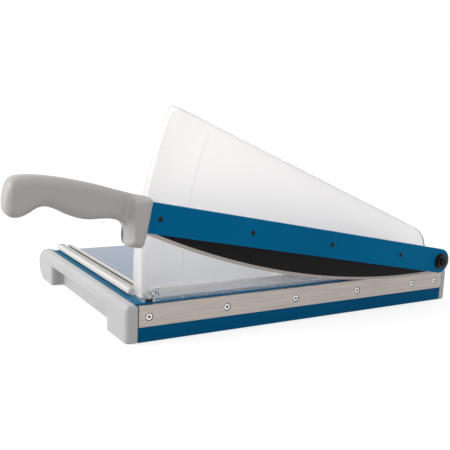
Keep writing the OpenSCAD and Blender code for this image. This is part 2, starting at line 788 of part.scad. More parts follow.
// Pivot bracket: a plate let into the beam, with an eye above the table
module pivot_bracket() {
    color("lightsteelblue") bench() difference() {
        union() {
            along_x(bracket_x0, -rail_t) {
                translate([bracket_y0, bracket_foot_z + lay]) square([bracket_w, sheet_z0 - bracket_foot_z]);
                translate([pivot_y - bracket_eye_r, sheet_z0])
                    square([2 * bracket_eye_r, pivot_z - sheet_z0]);
                translate([pivot_y, pivot_z]) circle(bracket_eye_r);
            }
            bar_x(-rail_t - lay, -thrust_t, pivot_y, pivot_z, bracket_eye_r);
        }
        bar_x(bracket_x0 - over, over, pivot_y, pivot_z, pivot_r + fit);
        for (y = rail_screw_ys)
            sunk_screw(0, y, rail_screw_z, rail_screw_len, rail_screw_r, rail_screw_head_r, fit);
        for (z = bracket_screw_zs)
            bar_x(bracket_x0 - over, bracket_x0 + bracket_screw_bite,
                  bracket_screw_y, z, bracket_screw_r + fit);
    }
}

module bracket_screws() {
    color("dimgray") bench() for (z = bracket_screw_zs) {
        bar_x(beam_x0, bracket_x0 + bracket_screw_bite, bracket_screw_y, z, bracket_screw_r);
        bar_x(beam_x0 - bracket_screw_head_h, beam_x0, bracket_screw_y, z, bracket_screw_head_r);
    }
}

// Shoulder bolt that the arm turns on
module pivot_bolt() {
    slot_w = 2;
    slot_depth = 1.2;
    color("silver") bench() difference() {
        union() {
            bar_x(bracket_x0 - pivot_head_t, bracket_x0, pivot_y, pivot_z, pivot_head_r);
            bar_x(bracket_x0 - pivot_head_t, shoulder_x1, pivot_y, pivot_z, pivot_r);
            bar_x(bracket_x0 - pivot_head_t, bolt_x1, pivot_y, pivot_z, pivot_thread_r);
        }
        block([bracket_x0 - pivot_head_t - over, pivot_y - pivot_head_r, pivot_z - slot_w / 2],
              [bracket_x0 - pivot_head_t + slot_depth, pivot_y + pivot_head_r, pivot_z + slot_w / 2]);
    }
}

// Flat ring round the pivot
module pivot_ring(x0, x1, r, bore_r) {
    difference() {
        bar_x(x0, x1, pivot_y, pivot_z, r);
        bar_x(x0 - over, x1 + over, pivot_y, pivot_z, bore_r);
    }
}

module thrust_washer() {
    rim_set = 0.5;
    color("darkkhaki") bench() pivot_ring(-thrust_t, 0, bracket_eye_r - rim_set, pivot_r + run);
}

module pivot_washer() {
    color("black") bench() pivot_ring(shoulder_x1, washer_x1, washer_r, pivot_thread_r + fit);
}

// Two dished springs, rim to washer and rim to nut
module disc_springs() {
    half = disc_pack / 2;
    inner = pivot_thread_r + 2 * fit;
    dish = [[inner, disc_dish], [disc_r, 0], [disc_r, disc_t], [inner, disc_dish + disc_t]];
    color("dimgray") bench() translate([washer_x1 + half, pivot_y, pivot_z]) {
        rotate([0, 90, 0]) translate([0, 0, -half]) rotate_extrude() polygon(dish);
        rotate([0, -90, 0]) translate([0, 0, -half]) rotate_extrude() polygon(dish);
    }
}

// Locking nut: hexagon and round collar
module pivot_nut() {
    hex_r = nut_af / 2 / cos(30);
    collar_set = 0.6;
    collar_r = nut_af / 2 - collar_set;
    color("dimgray") bench() difference() {
        union() {
            translate([nut_x0, pivot_y, pivot_z]) rotate([0, 90, 0]) cylinder(h = nut_h, r = hex_r, $fn = 6);
            bar_x(nut_x0, nut_x1, pivot_y, pivot_z, collar_r);
        }
        bar_x(nut_x0 - over, nut_x1 + over, pivot_y, pivot_z, pivot_thread_r + fit);
    }
}

// Headed pins that guide the guard, screwed into the beam through the sheet
module guide_pins() {
    color("silver") bench() for (y = pin_ys) {
        bar_z(sheet_z0 - pin_thread, lug_z1 + lay, -pin_in, y, pin_r);
        bar_z(lug_z1 + lay, lug_z1 + lay + pin_head_h, -pin_in, y, pin_head_r);
    }
}

// Rubber rings that lift the guard off the paper
module cushion_rings() {
    color("black") bench() for (y = pin_ys) difference() {
        bar_z(table_z, lug_z0, -pin_in, y, ring_out_r);
        bar_z(table_z - over, lug_z0 + over, -pin_in, y, pin_r + 3 * lay);
    }
}

// Guard sheet's side outline: curved front, sloping top, rounded rear corner
module guard_outline() {
    far = -50;
    intersection() {
        translate(guard_center) circle(guard_front_r, $fn = 256);
        polygon(concat(
            [[far, guard_z0], [guard_y1, guard_z0]],
            arc(guard_corner, guard_corner_r, 0, 90 - guard_slope),
            [[far, guard_top_at(far)]]
        ));
    }
}

// Front flange: the outline's front strip, one sheet thick
module guard_front_strip() {
    difference() {
        guard_outline();
        translate(guard_center) circle(guard_front_r - guard_t, $fn = 256);
    }
}

// Lug that slides on a guide pin
module guard_lug(x0, y0, y1) {
    block([x0, y0, lug_z0], [lug_x1, y1, lug_z1]);
}

module guard_sheet() {
    reach = guard_front + 4 * guard_t;
    color("lightcyan") bench() difference() {
        union() {
            difference() {
                along_x(guard_x0, guard_x1) guard_outline();
                block([guard_x0 - over, guard_front + guard_t + lay, guard_z0 - over],
                      [guard_x1 + over, notch_y1, lug_z0 + notch_h]);
            }
            along_x(flange_x0, guard_x1) difference() {
                guard_front_strip();
                translate([reach, guard_z0 - over]) square([guard_y1, 3 * guard_z0]);
            }
            along_x(flange_foot_x0, guard_x1) intersection() {
                guard_front_strip();
                translate([guard_front - over, guard_z0]) square([reach, flange_foot_h]);
            }
            guard_lug(guard_x0, guard_front + guard_t / 2, pin_ys[0] + lug_half);
            guard_lug(guard_x1 - guard_t / 2, pin_ys[1] - lug_half, pin_ys[1] + lug_half);
        }
        for (y = pin_ys) bar_z(lug_z0 - over, lug_z1 + over, -pin_in, y, pin_r + run);
    }
}

// Clamp foot: a clear bar bonded inside the guard's lower edge
module clamp_foot() {
    color("white") bench()
        block([guard_x0 - foot_w, notch_y1, guard_z0],
              [guard_x0, guard_y1 - guard_corner_r / 2, guard_z0 + foot_h]);
}

// Arm bar: flat steel, round at the pivot, with a tang inside the handle
module arm_bar() {
    color("steelblue") on_arm() difference() {
        union() {
            along_x(arm_x0, arm_x1) {
                circle(arm_half);
                translate([-arm_len, -arm_half]) square([arm_len, arm_h]);
            }
            block([arm_x0, -arm_len - tang_len, tang_w0], [arm_x1, -arm_len + over, tang_w0 + tang_h]);
        }
        bar_x(arm_x0 - over, arm_x1 + over, 0, 0, bush_r + fit);
        for (u = knife_screw_us) bar_x(arm_x0 - over, arm_x1 + over, -u, 0, knife_screw_r + fit);
        for (p = handle_screw_at) bar_x(arm_x0 - over, arm_x1 + over, -p[0], p[1], handle_screw_r + fit);
    }
}

module arm_bush() {
    color("peru") on_arm() difference() {
        bar_x(knife_x0, arm_x1, 0, 0, bush_r);
        bar_x(knife_x0 - over, arm_x1 + over, 0, 0, pivot_r + run);
    }
}

// Knife: a plate whose curved lower edge is ground to a bevel on its outer face
module knife_blade() {
    eye_r = bush_r + knife_eye;
    grind = [
        [0, 0], [knife_edge_r, 0], [knife_edge_r, edge_land],
        [knife_edge_r - bevel_w, knife_t], [0, knife_t]
    ];
    color([0.13, 0.13, 0.14]) on_arm() difference() {
        intersection() {
            along_x(knife_x0, arm_x0) {
                circle(eye_r);
                translate([-knife_len, -2 * knife_belly]) square([knife_len, 2 * knife_belly + knife_back]);
            }
            translate([knife_x0, -knife_axis_u, knife_axis_w]) rotate([0, 90, 0])
                rotate_extrude($fn = 720) polygon(grind);
        }
        bar_x(knife_x0 - over, arm_x0 + over, 0, 0, bush_r + fit);
        for (u = knife_screw_us) bar_x(knife_x0 - over, arm_x0 + over, -u, 0, knife_screw_r + fit);
    }
}

module knife_screws() {
    color([0.1, 0.1, 0.1]) on_arm() for (u = knife_screw_us) {
        bar_x(arm_x0 - knife_screw_bite, arm_x1, -u, 0, knife_screw_r);
        bar_x(arm_x1, arm_x1 + knife_screw_head_h, -u, 0, knife_screw_head_r);
    }
}

// Handle outline across a depth in x
module handle_slab(x0, x1) {
    along_x(x0, x1) polygon([for (p = handle_outline) [-p[0], p[1]]]);
}

// Domed outer face of the handle, from x0 to x1, on a foot that lies inside the straight part
module handle_dome_face(x0, x1) {
    rise = [
        for (i = [0 : dome_steps]) let (a = 90 * i / dome_steps)
            [x0 + (x1 - x0) * sin(a), dome_ledge + (handle_dome - dome_ledge) * (1 - cos(a))]
    ];
    layers = concat([[x0 - over / 2, handle_dome]], rise);
    last = len(layers) - 1;
    n = len(handle_outline);
    points = [for (l = layers) for (p = drawn_in(handle_outline, l[1])) [l[0], -p[0], p[1]]];
    walls = [
        for (j = [0 : last - 1]) for (i = [0 : n - 1]) let (a = j * n, b = a + n, k = (i + 1) % n)
            for (t = [[a + i, b + k, a + k], [a + i, b + i, b + k]]) t
    ];
    near = [for (i = [0 : n - 1]) i];
    far = [for (i = [n - 1 : -1 : 0]) last * n + i];
    polyhedron(points, concat(walls, [near, far]));
}

// Outer handle half, with the pocket for the tang
module handle_outer_shell() {
    dome_x0 = handle_x1 - handle_dome_d;
    color("gray") on_arm() {
        difference() {
            handle_slab(arm_x0, dome_x0);
            block([arm_x0 - over, -arm_len - tang_len - lay, tang_w0 - lay],
                  [arm_x1 + lay, -arm_len + over, tang_w0 + tang_h + lay]);
            for (p = handle_screw_at)
                bar_x(arm_x0 - over, handle_x0 + handle_screw_len, -p[0], p[1], handle_screw_r + fit);
        }
        handle_dome_face(dome_x0 - over / 2, handle_x1);
    }
}

// Inner handle half, a flat cover
module handle_inner_cover() {
    color("gray") on_arm() difference() {
        handle_slab(handle_x0, arm_x0);
        for (p = handle_screw_at) mirror([1, 0, 0])
            sunk_screw(-handle_x0, -p[0], p[1], handle_screw_len, handle_screw_r, handle_screw_head_r, fit);
    }
}

module handle_screws() {
    socket_r = 0.9;
    socket_depth = 1;
    color("dimgray") on_arm() for (p = handle_screw_at) difference() {
        mirror([1, 0, 0])
            sunk_screw(-handle_x0, -p[0], p[1], handle_screw_len, handle_screw_r, handle_screw_head_r, 0);
        translate([handle_x0 - over, -p[0], p[1]]) rotate([0, 90, 0])
            cylinder(h = socket_depth + over, r = socket_r, $fn = 6);
    }
}

table_plate();
side_beam();
counter_blade();
counter_blade_screws();
front_end_cap();
rear_end_cap();
front_cross_member();
rear_cross_member();
end_cap_screws();
rubber_feet();
guide_rail();
scale_strip();
guide_rail_screws();
pivot_bracket();
bracket_screws();
pivot_bolt();
thrust_washer();
pivot_washer();
disc_springs();
pivot_nut();
guide_pins();
cushion_rings();
guard_sheet();
clamp_foot();
arm_bar();
arm_bush();
knife_blade();
knife_screws();
handle_outer_shell();
handle_inner_cover();
handle_screws();
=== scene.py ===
import json
import math

import bmesh
import bpy
from mathutils import Matrix, Quaternion, Vector
from mathutils.geometry import intersect_point_line


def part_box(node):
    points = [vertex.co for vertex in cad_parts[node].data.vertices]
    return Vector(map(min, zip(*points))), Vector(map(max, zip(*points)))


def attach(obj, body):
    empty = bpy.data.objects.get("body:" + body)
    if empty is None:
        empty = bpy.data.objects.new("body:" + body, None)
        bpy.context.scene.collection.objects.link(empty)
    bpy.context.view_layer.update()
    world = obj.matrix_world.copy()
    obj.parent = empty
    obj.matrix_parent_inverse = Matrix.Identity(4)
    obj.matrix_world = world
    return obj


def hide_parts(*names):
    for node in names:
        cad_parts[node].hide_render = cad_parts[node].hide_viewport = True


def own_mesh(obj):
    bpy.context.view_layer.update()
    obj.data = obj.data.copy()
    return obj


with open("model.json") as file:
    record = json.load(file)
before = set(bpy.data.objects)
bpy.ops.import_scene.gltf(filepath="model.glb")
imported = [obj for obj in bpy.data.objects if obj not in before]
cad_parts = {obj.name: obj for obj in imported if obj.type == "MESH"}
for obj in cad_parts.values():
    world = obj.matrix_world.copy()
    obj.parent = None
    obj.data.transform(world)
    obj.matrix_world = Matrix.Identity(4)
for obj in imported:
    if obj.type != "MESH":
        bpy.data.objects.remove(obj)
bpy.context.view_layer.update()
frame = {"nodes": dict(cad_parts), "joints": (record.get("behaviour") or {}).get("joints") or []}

scene = bpy.context.scene


# Side beam
# A painted steel bar of L section under the right edge of the table, which carries the cutting edge.
# Its rear end is pocketed, and the bracket of the arm is let into the pocket.

mm = 0.001
edge_low, edge_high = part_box("counter_blade")
bench = Matrix.Translation((edge_high.x, edge_low.y, 0)) @ Matrix.Scale(mm, 4)
edge_len = (edge_high.y - edge_low.y) / mm
base_lift = 0.5
table_top, sheet_t = 40, 2
sheet_under = table_top - sheet_t
beam_left, beam_step, beam_right = -14, -4, -0.8
edge_bottom, edge_top = 16.5, 38.7
beam_break, fit = 0.5, 0.1


def prism(outline, axis, start, end, segments=6):
    """A flat outline of (a, b) or (a, b, rounding) corners, drawn out along an axis."""
    bm = bmesh.new()
    place = {"x": lambda a, b: (start, a, b),
             "y": lambda a, b: (a, start, b),
             "z": lambda a, b: (a, b, start)}[axis]
    corners = [bm.verts.new(place(*corner[:2])) for corner in outline]
    bm.faces.new(corners)
    for rounding in sorted({corner[2] for corner in outline if len(corner) > 2}):
        turned_in = [vert for vert, corner in zip(corners, outline) if corner[2:] == (rounding,)]
        bmesh.ops.bevel(bm, geom=turned_in, offset=rounding, offset_type="OFFSET", segments=segments,
                        profile=0.5, affect="VERTICES", material=-1)
    draw_out(bm, bm.faces[:], axis, end - start)
    return bm


def draw_out(bm, faces, axis, length):
    """Extrudes faces along an axis and turns every face outwards."""
    far = bmesh.ops.extrude_face_region(bm, geom=faces)["geom"]
    step = Vector([length * (axis == name) for name in "xyz"])
    bmesh.ops.translate(bm, verts=[item for item in far if isinstance(item, bmesh.types.BMVert)], vec=step)
    bmesh.ops.recalc_face_normals(bm, faces=bm.faces)


def block(low, high, bm=None):
    """A squared block between two corners, in a mesh of its own or added to one."""
    bm = bm or bmesh.new()
    low, high = Vector(low), Vector(high)
    size = Matrix.Diagonal((*(high - low), 1))
    bmesh.ops.create_cube(bm, size=1, matrix=Matrix.Translation((low + high) / 2) @ size)
    return bm


def keen_edges(bm, angle=30):
    """Edges where two faces meet sharper than an angle."""
    limit = math.radians(angle)
    return [edge for edge in bm.edges if len(edge.link_faces) == 2 and edge.calc_face_angle(0) > limit]


def soften(bm, width, edges=None, segments=2, clamp=True):
    """Breaks the sharp edges with a small round."""
    bmesh.ops.bevel(bm, geom=keen_edges(bm) if edges is None else edges, offset=width, offset_type="OFFSET",
                    segments=segments, profile=0.5, affect="EDGES", clamp_overlap=clamp, material=-1)
    return bm


def worked(bm, *steps):
    """Runs modifiers over a mesh: each step is a modifier's kind with its settings."""
    mesh = bpy.data.meshes.new("blank")
    bm.to_mesh(mesh)
    bm.free()
    blank = bpy.data.objects.new("blank", mesh)
    scene.collection.objects.link(blank)
    for kind, settings in steps:
        modifier = blank.modifiers.new(kind.lower(), kind)
        for name, value in settings.items():
            setattr(modifier, name, value)
    result = bmesh.new()
    result.from_object(blank, bpy.context.evaluated_depsgraph_get())
    bpy.data.objects.remove(blank)
    bpy.data.meshes.remove(mesh)
    return result


def combined(bm, operation, tools):
    """Cuts tools out of a mesh, adds them to it or keeps what they share."""
    cutters = []
    for tool in tools:
        mesh = bpy.data.meshes.new("cutter")
        tool.to_mesh(mesh)
        tool.free()
        cutters.append(bpy.data.objects.new("cutter", mesh))
        scene.collection.objects.link(cutters[-1])
    steps = [("BOOLEAN", {"operation": operation, "solver": "EXACT", "object": cutter})
             for cutter in cutters]
    result = worked(bm, *steps)
    for cutter in cutters:
        mesh = cutter.data
        bpy.data.objects.remove(cutter)
        bpy.data.meshes.remove(mesh)
    bmesh.ops.dissolve_degenerate(result, dist=1e-4, edges=result.edges)
    return result


def fitted(name, bm, place, body, materials, stands_for=(), crease=32):
    """The finished piece: placed in the frame, shaded, given its material and tied to its body."""
    bmesh.ops.transform(bm, matrix=place, verts=bm.verts)
    mesh = bpy.data.meshes.new(name)
    bm.to_mesh(mesh)
    bm.free()
    mesh.shade_smooth()
    mesh.set_sharp_from_angle(angle=math.radians(crease))
    for material in materials:
        mesh.materials.append(material)
    piece = bpy.data.objects.new(name, mesh)
    scene.collection.objects.link(piece)
    piece.modifiers.new("even_shading", "WEIGHTED_NORMAL").keep_sharp = True
    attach(piece, body)
    if stands_for:
        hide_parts(*stands_for)
    return piece


def tone(red, green, blue):
    """A screen colour as the shader's linear colour."""
    shares = [value / 255 for value in (red, green, blue)]
    return (*[((c + 0.055) / 1.055) ** 2.4 if c > 0.04 else c / 12.92 for c in shares], 1)


def surface(name, dark, light, rough, patch, relief, fine, stretch=(1, 1, 1), depth=0.0001, fixed=None):
    """A finish with cloudy colour and gloss at one scale and a fine relief at another, both per metre."""
    material = bpy.data.materials.new(name)
    material.use_nodes = True
    nodes, links = material.node_tree.nodes, material.node_tree.links
    shader = nodes["Principled BSDF"]
    place = nodes.new("ShaderNodeTexCoord")
    turn = nodes.new("ShaderNodeMapping")
    turn.inputs["Scale"].default_value = stretch
    links.new(place.outputs["Object"], turn.inputs["Vector"])
    cloud, grain = (nodes.new("ShaderNodeTexNoise") for _ in range(2))
    for noise, scale in ((cloud, patch), (grain, fine)):
        links.new(turn.outputs["Vector"], noise.inputs["Vector"])
        noise.inputs["Scale"].default_value = scale
        noise.inputs["Detail"].default_value = 4
    spread = (0.3, 0.7)
    colours = nodes.new("ShaderNodeValToRGB")
    for stop, position, colour in zip(colours.color_ramp.elements, spread, (dark, light)):
        stop.position, stop.color = position, colour
    links.new(cloud.outputs[0], colours.inputs["Fac"])
    links.new(colours.outputs["Color"], shader.inputs["Base Color"])
    gloss = nodes.new("ShaderNodeMapRange")
    for socket, value in zip(("From Min", "From Max", "To Min", "To Max"), (*spread, *rough)):
        gloss.inputs[socket].default_value = value
    links.new(grain.outputs[0], gloss.inputs["Value"])
    links.new(gloss.outputs["Result"], shader.inputs["Roughness"])
    bump = nodes.new("ShaderNodeBump")
    bump.inputs["Strength"].default_value = relief
    bump.inputs["Distance"].default_value = depth
    links.new(grain.outputs[0], bump.inputs["Height"])
    links.new(bump.outputs["Normal"], shader.inputs["Normal"])
    for socket, value in (fixed or {}).items():
        shader.inputs[socket].default_value = value
    return material


def bench_box(node):
    """A CAD node's corners in bench millimetres."""
    return [bench.inverted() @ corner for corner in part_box(node)]


beam_paint = surface("beam_paint", tone(0, 88, 133), tone(0, 95, 141),
                     rough=(0.3, 0.38), patch=9, relief=0.12, fine=900,
                     fixed={"Specular IOR Level": 0.04})
bracket_low, bracket_high = bench_box("pivot_bracket")
beam = soften(prism([(beam_left, base_lift), (beam_right, base_lift), (beam_right, edge_bottom),
                     (beam_step, edge_bottom), (beam_step, sheet_under), (beam_left, sheet_under)],
                    "y", 0, edge_len), beam_break)
bracket_fit = Vector((fit, fit, fit))
beam = combined(beam, "DIFFERENCE", [block(bracket_low - bracket_fit, bracket_high + bracket_fit)])
fitted("painted_side_beam", beam, bench, "base", [beam_paint], ["side_beam"])


# Table sheet
# The top is one sheet of 2 mm steel, folded down along its left side and painted a glossy blue. The lip in
# front of the guide rail and the sheared right edge are matt, and a notch lets the arm's bracket through.

sheet_left, sheet_right = -273.5, -4.1
sheet_front, sheet_rear = -2.8, 425.8
fold_round, inner_round, edge_round, sheet_break = 3.5, 1.5, 1.4, 0.25
lip_rear, facing, over = 7, 0.3, 1

table_paint = surface("table_paint", tone(4, 84, 128), tone(8, 90, 134),
                      rough=(0.18, 0.24), patch=7, relief=0.03, fine=700,
                      fixed={"Specular IOR Level": 0.75, "Coat Weight": 0.5, "Coat Roughness": 0.15})
lip_paint = surface("matt_lip_paint", tone(32, 104, 141), tone(39, 110, 148),
                    rough=(0.5, 0.58), patch=9, relief=0.12, fine=900,
                    fixed={"Specular IOR Level": 0.1})


def scribe(bm, at, normal, **sides):
    """Cuts every face along a plane, and clears a side of it where told to."""
    bmesh.ops.bisect_plane(bm, geom=bm.verts[:] + bm.edges[:] + bm.faces[:], plane_co=at, plane_no=normal,
                           **sides)


sheet = prism([(sheet_left, base_lift), (sheet_left, table_top, fold_round),
               (sheet_right, table_top, edge_round), (sheet_right, sheet_under),
               (sheet_left + sheet_t, sheet_under, inner_round), (sheet_left + sheet_t, base_lift)],
              "y", sheet_front, sheet_rear)
soften(sheet, sheet_break)
notch = block((bracket_low.x - fit, bracket_low.y - fit, sheet_under - over),
              (sheet_right + over, bracket_high.y + fit, table_top + over))
sheet = combined(sheet, "DIFFERENCE", [notch])
scribe(sheet, (0, lip_rear, 0), (0, 1, 0))
for flat in sheet.faces:
    spot = flat.calc_center_median()
    sheared = spot.x > sheet_right - edge_round and flat.normal.x > facing
    flat.material_index = 2 if sheared else int(spot.y < lip_rear)
fitted("folded_table_sheet", sheet, bench, "base", [table_paint, lip_paint, beam_paint],
       ["table_plate"])


# Print on the table
# White lines of thin ink: one across the table behind the guide rail, short marks along the cutting edge,
# the corners of the usual sheet sizes, and four plain bars.

ink_t, ink_w = 0.06, 0.7
rule_y, rule_left, rule_right = 37.6, sheet_left + 6, -32
mark_start, mark_gap, mark_count, mark_w = 24.4, 28.3, 13, 0.8
mark_right, mark_lefts = -6.4, (-10.5, -12)
paper_sizes = ((210, 297, 16), (148, 210, 12), (105, 148, 9))
bar_right, bar_start, bar_gap, bar_w = -92, 58, 5, 1.2
bar_lengths = (34, 26, 30, 18)

print_ink = surface("print_ink", tone(190, 202, 214), tone(208, 218, 228),
                    rough=(0.4, 0.5), patch=60, relief=0.1, fine=2500)
marks = bmesh.new()


def inked(x0, y0, x1, y1):
    """One printed line or bar on the table."""
    block((x0, y0, table_top), (x1, y1, table_top + ink_t), marks)


inked(rule_left, rule_y, rule_right, rule_y + ink_w)
for step in range(mark_count):
    mark_y = mark_start + mark_gap * step
    inked(mark_lefts[step % 2], mark_y, mark_right, mark_y + mark_w)
for width, length, arm in paper_sizes:
    corner_x, corner_y = rule_right - width, rule_y + length
    inked(corner_x, corner_y - ink_w, corner_x + arm, corner_y)
    inked(corner_x, corner_y - arm, corner_x + ink_w, corner_y)
    inked(corner_x, rule_y, corner_x + ink_w, rule_y + arm)
for row, reach in enumerate(bar_lengths):
    bar_y = bar_start + bar_gap * row
    inked(bar_right - reach, bar_y, bar_right, bar_y + bar_w)
fitted("table_print", marks, bench, "base", [print_ink])


# Cross members
# Two zinc-plated angles under the sheet, behind the end caps, which tie the beam to the folded side.
# The caps are screwed to them from inside.

def dress(node, material):
    """Gives a CAD node a finish."""
    carried = frame["nodes"][node]
    carried.data.materials.clear()
    carried.data.materials.append(material)


zinc = surface("zinc_plate", tone(150, 154, 160), tone(186, 190, 194),
               rough=(0.3, 0.45), patch=90, relief=0.15, fine=1200,
               fixed={"Metallic": 1})
# Blackened steel for the dark screws, nut, bolt and springs. The same dark colour is painted into screw
# sockets and countersinks as shade.
dark_steel_and_shade = surface("blackened_steel_and_painted_shade", tone(24, 24, 26), tone(42, 42, 46),
                     rough=(0.35, 0.5), patch=300, relief=0.2, fine=2600,
                     fixed={"Metallic": 0.6})
for member in ("front_cross_member", "rear_cross_member"):
    dress(member, zinc)
dress("end_cap_screws", dark_steel_and_shade)


# End caps
# Light grey mouldings, round at their left end and flush with the table, close both ends of the base and
# stand on the desk. Their front rim eases towards the round end. The front cap is cut away below, so that
# fingers can reach under it.

cap_left, cap_right, cap_low, cap_top = -300, -0.4, 0.4, 40
cap_rim, end_share, cap_edge, cap_corner = 6, 0.45, 4, 3.5
rim_low, hair, near = cap_low + 1, 0.01, 0.05
front_nose, front_depth, rear_nose, rear_depth = 13.2, 4.2, 11, 14
sheet_room, skirt_room, ledge_y = 0.3, 1.5, -2.9
skirt_free = sheet_left + sheet_t + skirt_room
recess_left, recess_right, recess_back, recess_top = -242.5, -54, 1.5, 25.5
recess_fall, recess_round, recess_flare = 0.75, 5, 9
cap_voxel, cap_rounds, mould_crease = 0.9, 4, 60

cap_plastic = surface("cap_plastic", tone(192, 192, 193), tone(198, 198, 198),
                      rough=(0.42, 0.5), patch=22, relief=0.25, fine=3200,
                      depth=0.00006)


def smoothed(bm, verts, rounds):
    """Smooths some points of a mesh a number of times."""
    for _ in range(rounds):
        bmesh.ops.smooth_vert(bm, verts=verts, factor=0.5, use_axis_x=True, use_axis_y=True,
                              use_axis_z=True)
    return bm


def fused(bm, voxel, rounds):
    """Runs overlapping forms into one moulding with softly rounded edges."""
    bm = worked(bm, ("REMESH", {"mode": "VOXEL", "voxel_size": voxel}))
    return smoothed(bm, bm.verts, rounds)


def cap_form(nose, depth, cuts):
    """A cap drawn for the front end: its outline drawn out, its front edges rounded, less the cuts."""
    end_round = (cap_top - cap_low) / 2 - hair
    form = prism([(cap_left, cap_low, end_round), (cap_right, cap_low), (cap_right, cap_top),
                  (cap_left, cap_top, end_round)], "y", -nose, depth, segments=18)
    weight = form.edges.layers.float.new("bevel_weight_edge")
    for edge in keen_edges(form):
        middle = (edge.verts[0].co + edge.verts[1].co) / 2
        if middle.y < near - nose and max(vert.co.z for vert in edge.verts) > rim_low:
            edge[weight] = min(end_share + (1 - end_share) * (middle.x - cap_left) / end_round, 1)
        elif min(min(vert.co.x - cap_right, vert.co.z - cap_top) for vert in edge.verts) > -near:
            edge[weight] = cap_edge / cap_rim
    form = worked(form, ("BEVEL", {"width": cap_rim, "segments": 8, "limit_method": "WEIGHT",
                                   "use_clamp_overlap": False}))
    room = [block((sheet_left - sheet_room, ledge_y, sheet_under), (over, depth + over, cap_top + over)),
            block((beam_left - fit, -fit, -over), (over, depth + over, cap_top + over)),
            block((cap_left - over, 0, -over), (skirt_free, depth + over, cap_top + over))]
    form = combined(form, "DIFFERENCE", room + cuts)
    lintel = [edge for edge in keen_edges(form)
              if all(vert.co.y < near - nose and abs(vert.co.z - recess_top) < near for vert in edge.verts)]
    return fused(soften(form, cap_edge, lintel, segments=8, clamp=False), cap_voxel, cap_rounds)


recess_mouth = -front_nose - hair
flare_left, flare_right = recess_left - recess_flare, recess_right + recess_flare
finger_recess = prism([(flare_left, recess_mouth - recess_flare), (flare_left, recess_mouth),
                       (recess_left, recess_mouth, recess_round), (recess_left, recess_back),
                       (recess_right, recess_back), (recess_right, recess_mouth, cap_corner),
                       (flare_right, recess_mouth), (flare_right, recess_mouth - recess_flare)],
                      "z", -over, recess_top, segments=8)
for vert in finger_recess.verts:
    if vert.co.z > 0:
        vert.co.z -= recess_fall * (vert.co.y - recess_mouth)
front_cap = cap_form(front_nose, front_depth, [finger_recess])
fitted("moulded_front_cap", front_cap, bench, "base", [cap_plastic], ["front_end_cap"],
       mould_crease)
rear_cap = cap_form(rear_nose, rear_depth, [])
end_for_end = Matrix.Translation((0, edge_len, 0)) @ Matrix.Diagonal((1, -1, 1, 1))
bmesh.ops.transform(rear_cap, matrix=end_for_end, verts=rear_cap.verts)
bmesh.ops.recalc_face_normals(rear_cap, faces=rear_cap.faces)
fitted("moulded_rear_cap", rear_cap, bench, "base", [cap_plastic], ["rear_end_cap"],
       mould_crease)


# Rubber feet
# Four turned pads of black rubber with rounded rims, pressed into wells under the caps.
# They keep the base a little off the desk.

foot_places = [(x, y) for x in (-256.25, -34) for y in (-3.3, 416.5)]
pad_profile = [(0, 0), (5, 0), (5.7, 0.4), (6, 1), (6, 2.5), (0, 2.5)]
rubber = surface("foot_rubber", tone(22, 22, 23), tone(34, 34, 35),
                 rough=(0.7, 0.85), patch=120, relief=0.35, fine=2200)


def turned(profile, place, steps=32):
    """A profile of (radius, height) spun full circle about its axis and set in place."""
    bm = bmesh.new()
    line = [bm.verts.new((radius, 0, height)) for radius, height in profile]
    for start, end in zip(line, line[1:]):
        bm.edges.new((start, end))
    bmesh.ops.spin(bm, geom=bm.verts[:] + bm.edges[:], cent=(0, 0, 0), axis=(0, 0, 1), angle=2 * math.pi,
                   steps=steps, use_merge=True)
    bmesh.ops.remove_doubles(bm, verts=bm.verts, dist=1e-4)
    bmesh.ops.recalc_face_normals(bm, faces=bm.faces)
    bmesh.ops.transform(bm, matrix=place, verts=bm.verts)
    return bm


def together(shapes):
    """Several shapes in one mesh."""
    whole = bmesh.new()
    for shape in shapes:
        mesh = bpy.data.meshes.new("part")
        shape.to_mesh(mesh)
        shape.free()
        whole.from_mesh(mesh)
        bpy.data.meshes.remove(mesh)
    return whole


feet = together([turned(pad_profile, Matrix.Translation((x, y, 0))) for x, y in foot_places])
fitted("turned_rubber_feet", feet, bench, "base", [rubber], ["rubber_feet"])


# Cutting edge
# A ground bar of tool steel along the right of the table, brushed lengthwise.
# Six countersunk socket screws hold it to the beam.

edge_screw_ys, edge_screw_z = (11.2, 101.2, 191.2, 281.2, 371.2, 410.7), 26.7
edge_t, edge_break = 4, 0.3
sink_r, sink_hole_r, sink_low, sink_high = 4.2, 2.6, -1.9, -0.4
edge_head = [(0, 0), (3.1, 0), (3.4, -0.15), (3.5, -0.5), (2.5, -1.6), (2.4, -6), (0, -6)]
socket_draft = 0.9
brush_along_y = (1, 0.012, 1)

edge_steel = surface("brushed_edge_steel", tone(164, 156, 150), tone(190, 181, 175),
                     rough=(0.34, 0.5), patch=1500, relief=0.25, fine=2600,
                     stretch=brush_along_y, depth=0.00005, fixed={"Metallic": 1})
screw_steel = surface("bright_screw_steel", tone(206, 206, 206), tone(232, 232, 232),
                      rough=(0.18, 0.28), patch=400, relief=0.1, fine=2000,
                      fixed={"Metallic": 1})
to_right = Matrix.Rotation(math.pi / 2, 4, "Y")


def screws(places, head, socket_r, socket_depth, face, aim):
    """Like screws with a turned head and a hexagon socket, their faces at a level on the aimed axis.
    The socket takes the second material, a dark colour painted in as the shade inside it."""
    made = []
    for place in places:
        at = Matrix.Translation(place) @ aim
        shape = turned([(radius, height + face) for radius, height in head], at)
        socket = bmesh.new()
        bmesh.ops.create_cone(socket, cap_ends=True, cap_tris=False, segments=6,
                              radius1=socket_r * socket_draft, radius2=socket_r, depth=socket_depth + over,
                              matrix=at @ Matrix.Translation((0, 0, face + (over - socket_depth) / 2)))
        shape = combined(shape, "DIFFERENCE", [socket])
        for flat in shape.faces:
            spot = at.inverted() @ flat.calc_center_median()
            in_socket = face - socket_depth - fit < spot.z < face - fit
            flat.material_index = int(in_socket and spot.xy.length < socket_r)
        made.append(shape)
    return together(made)


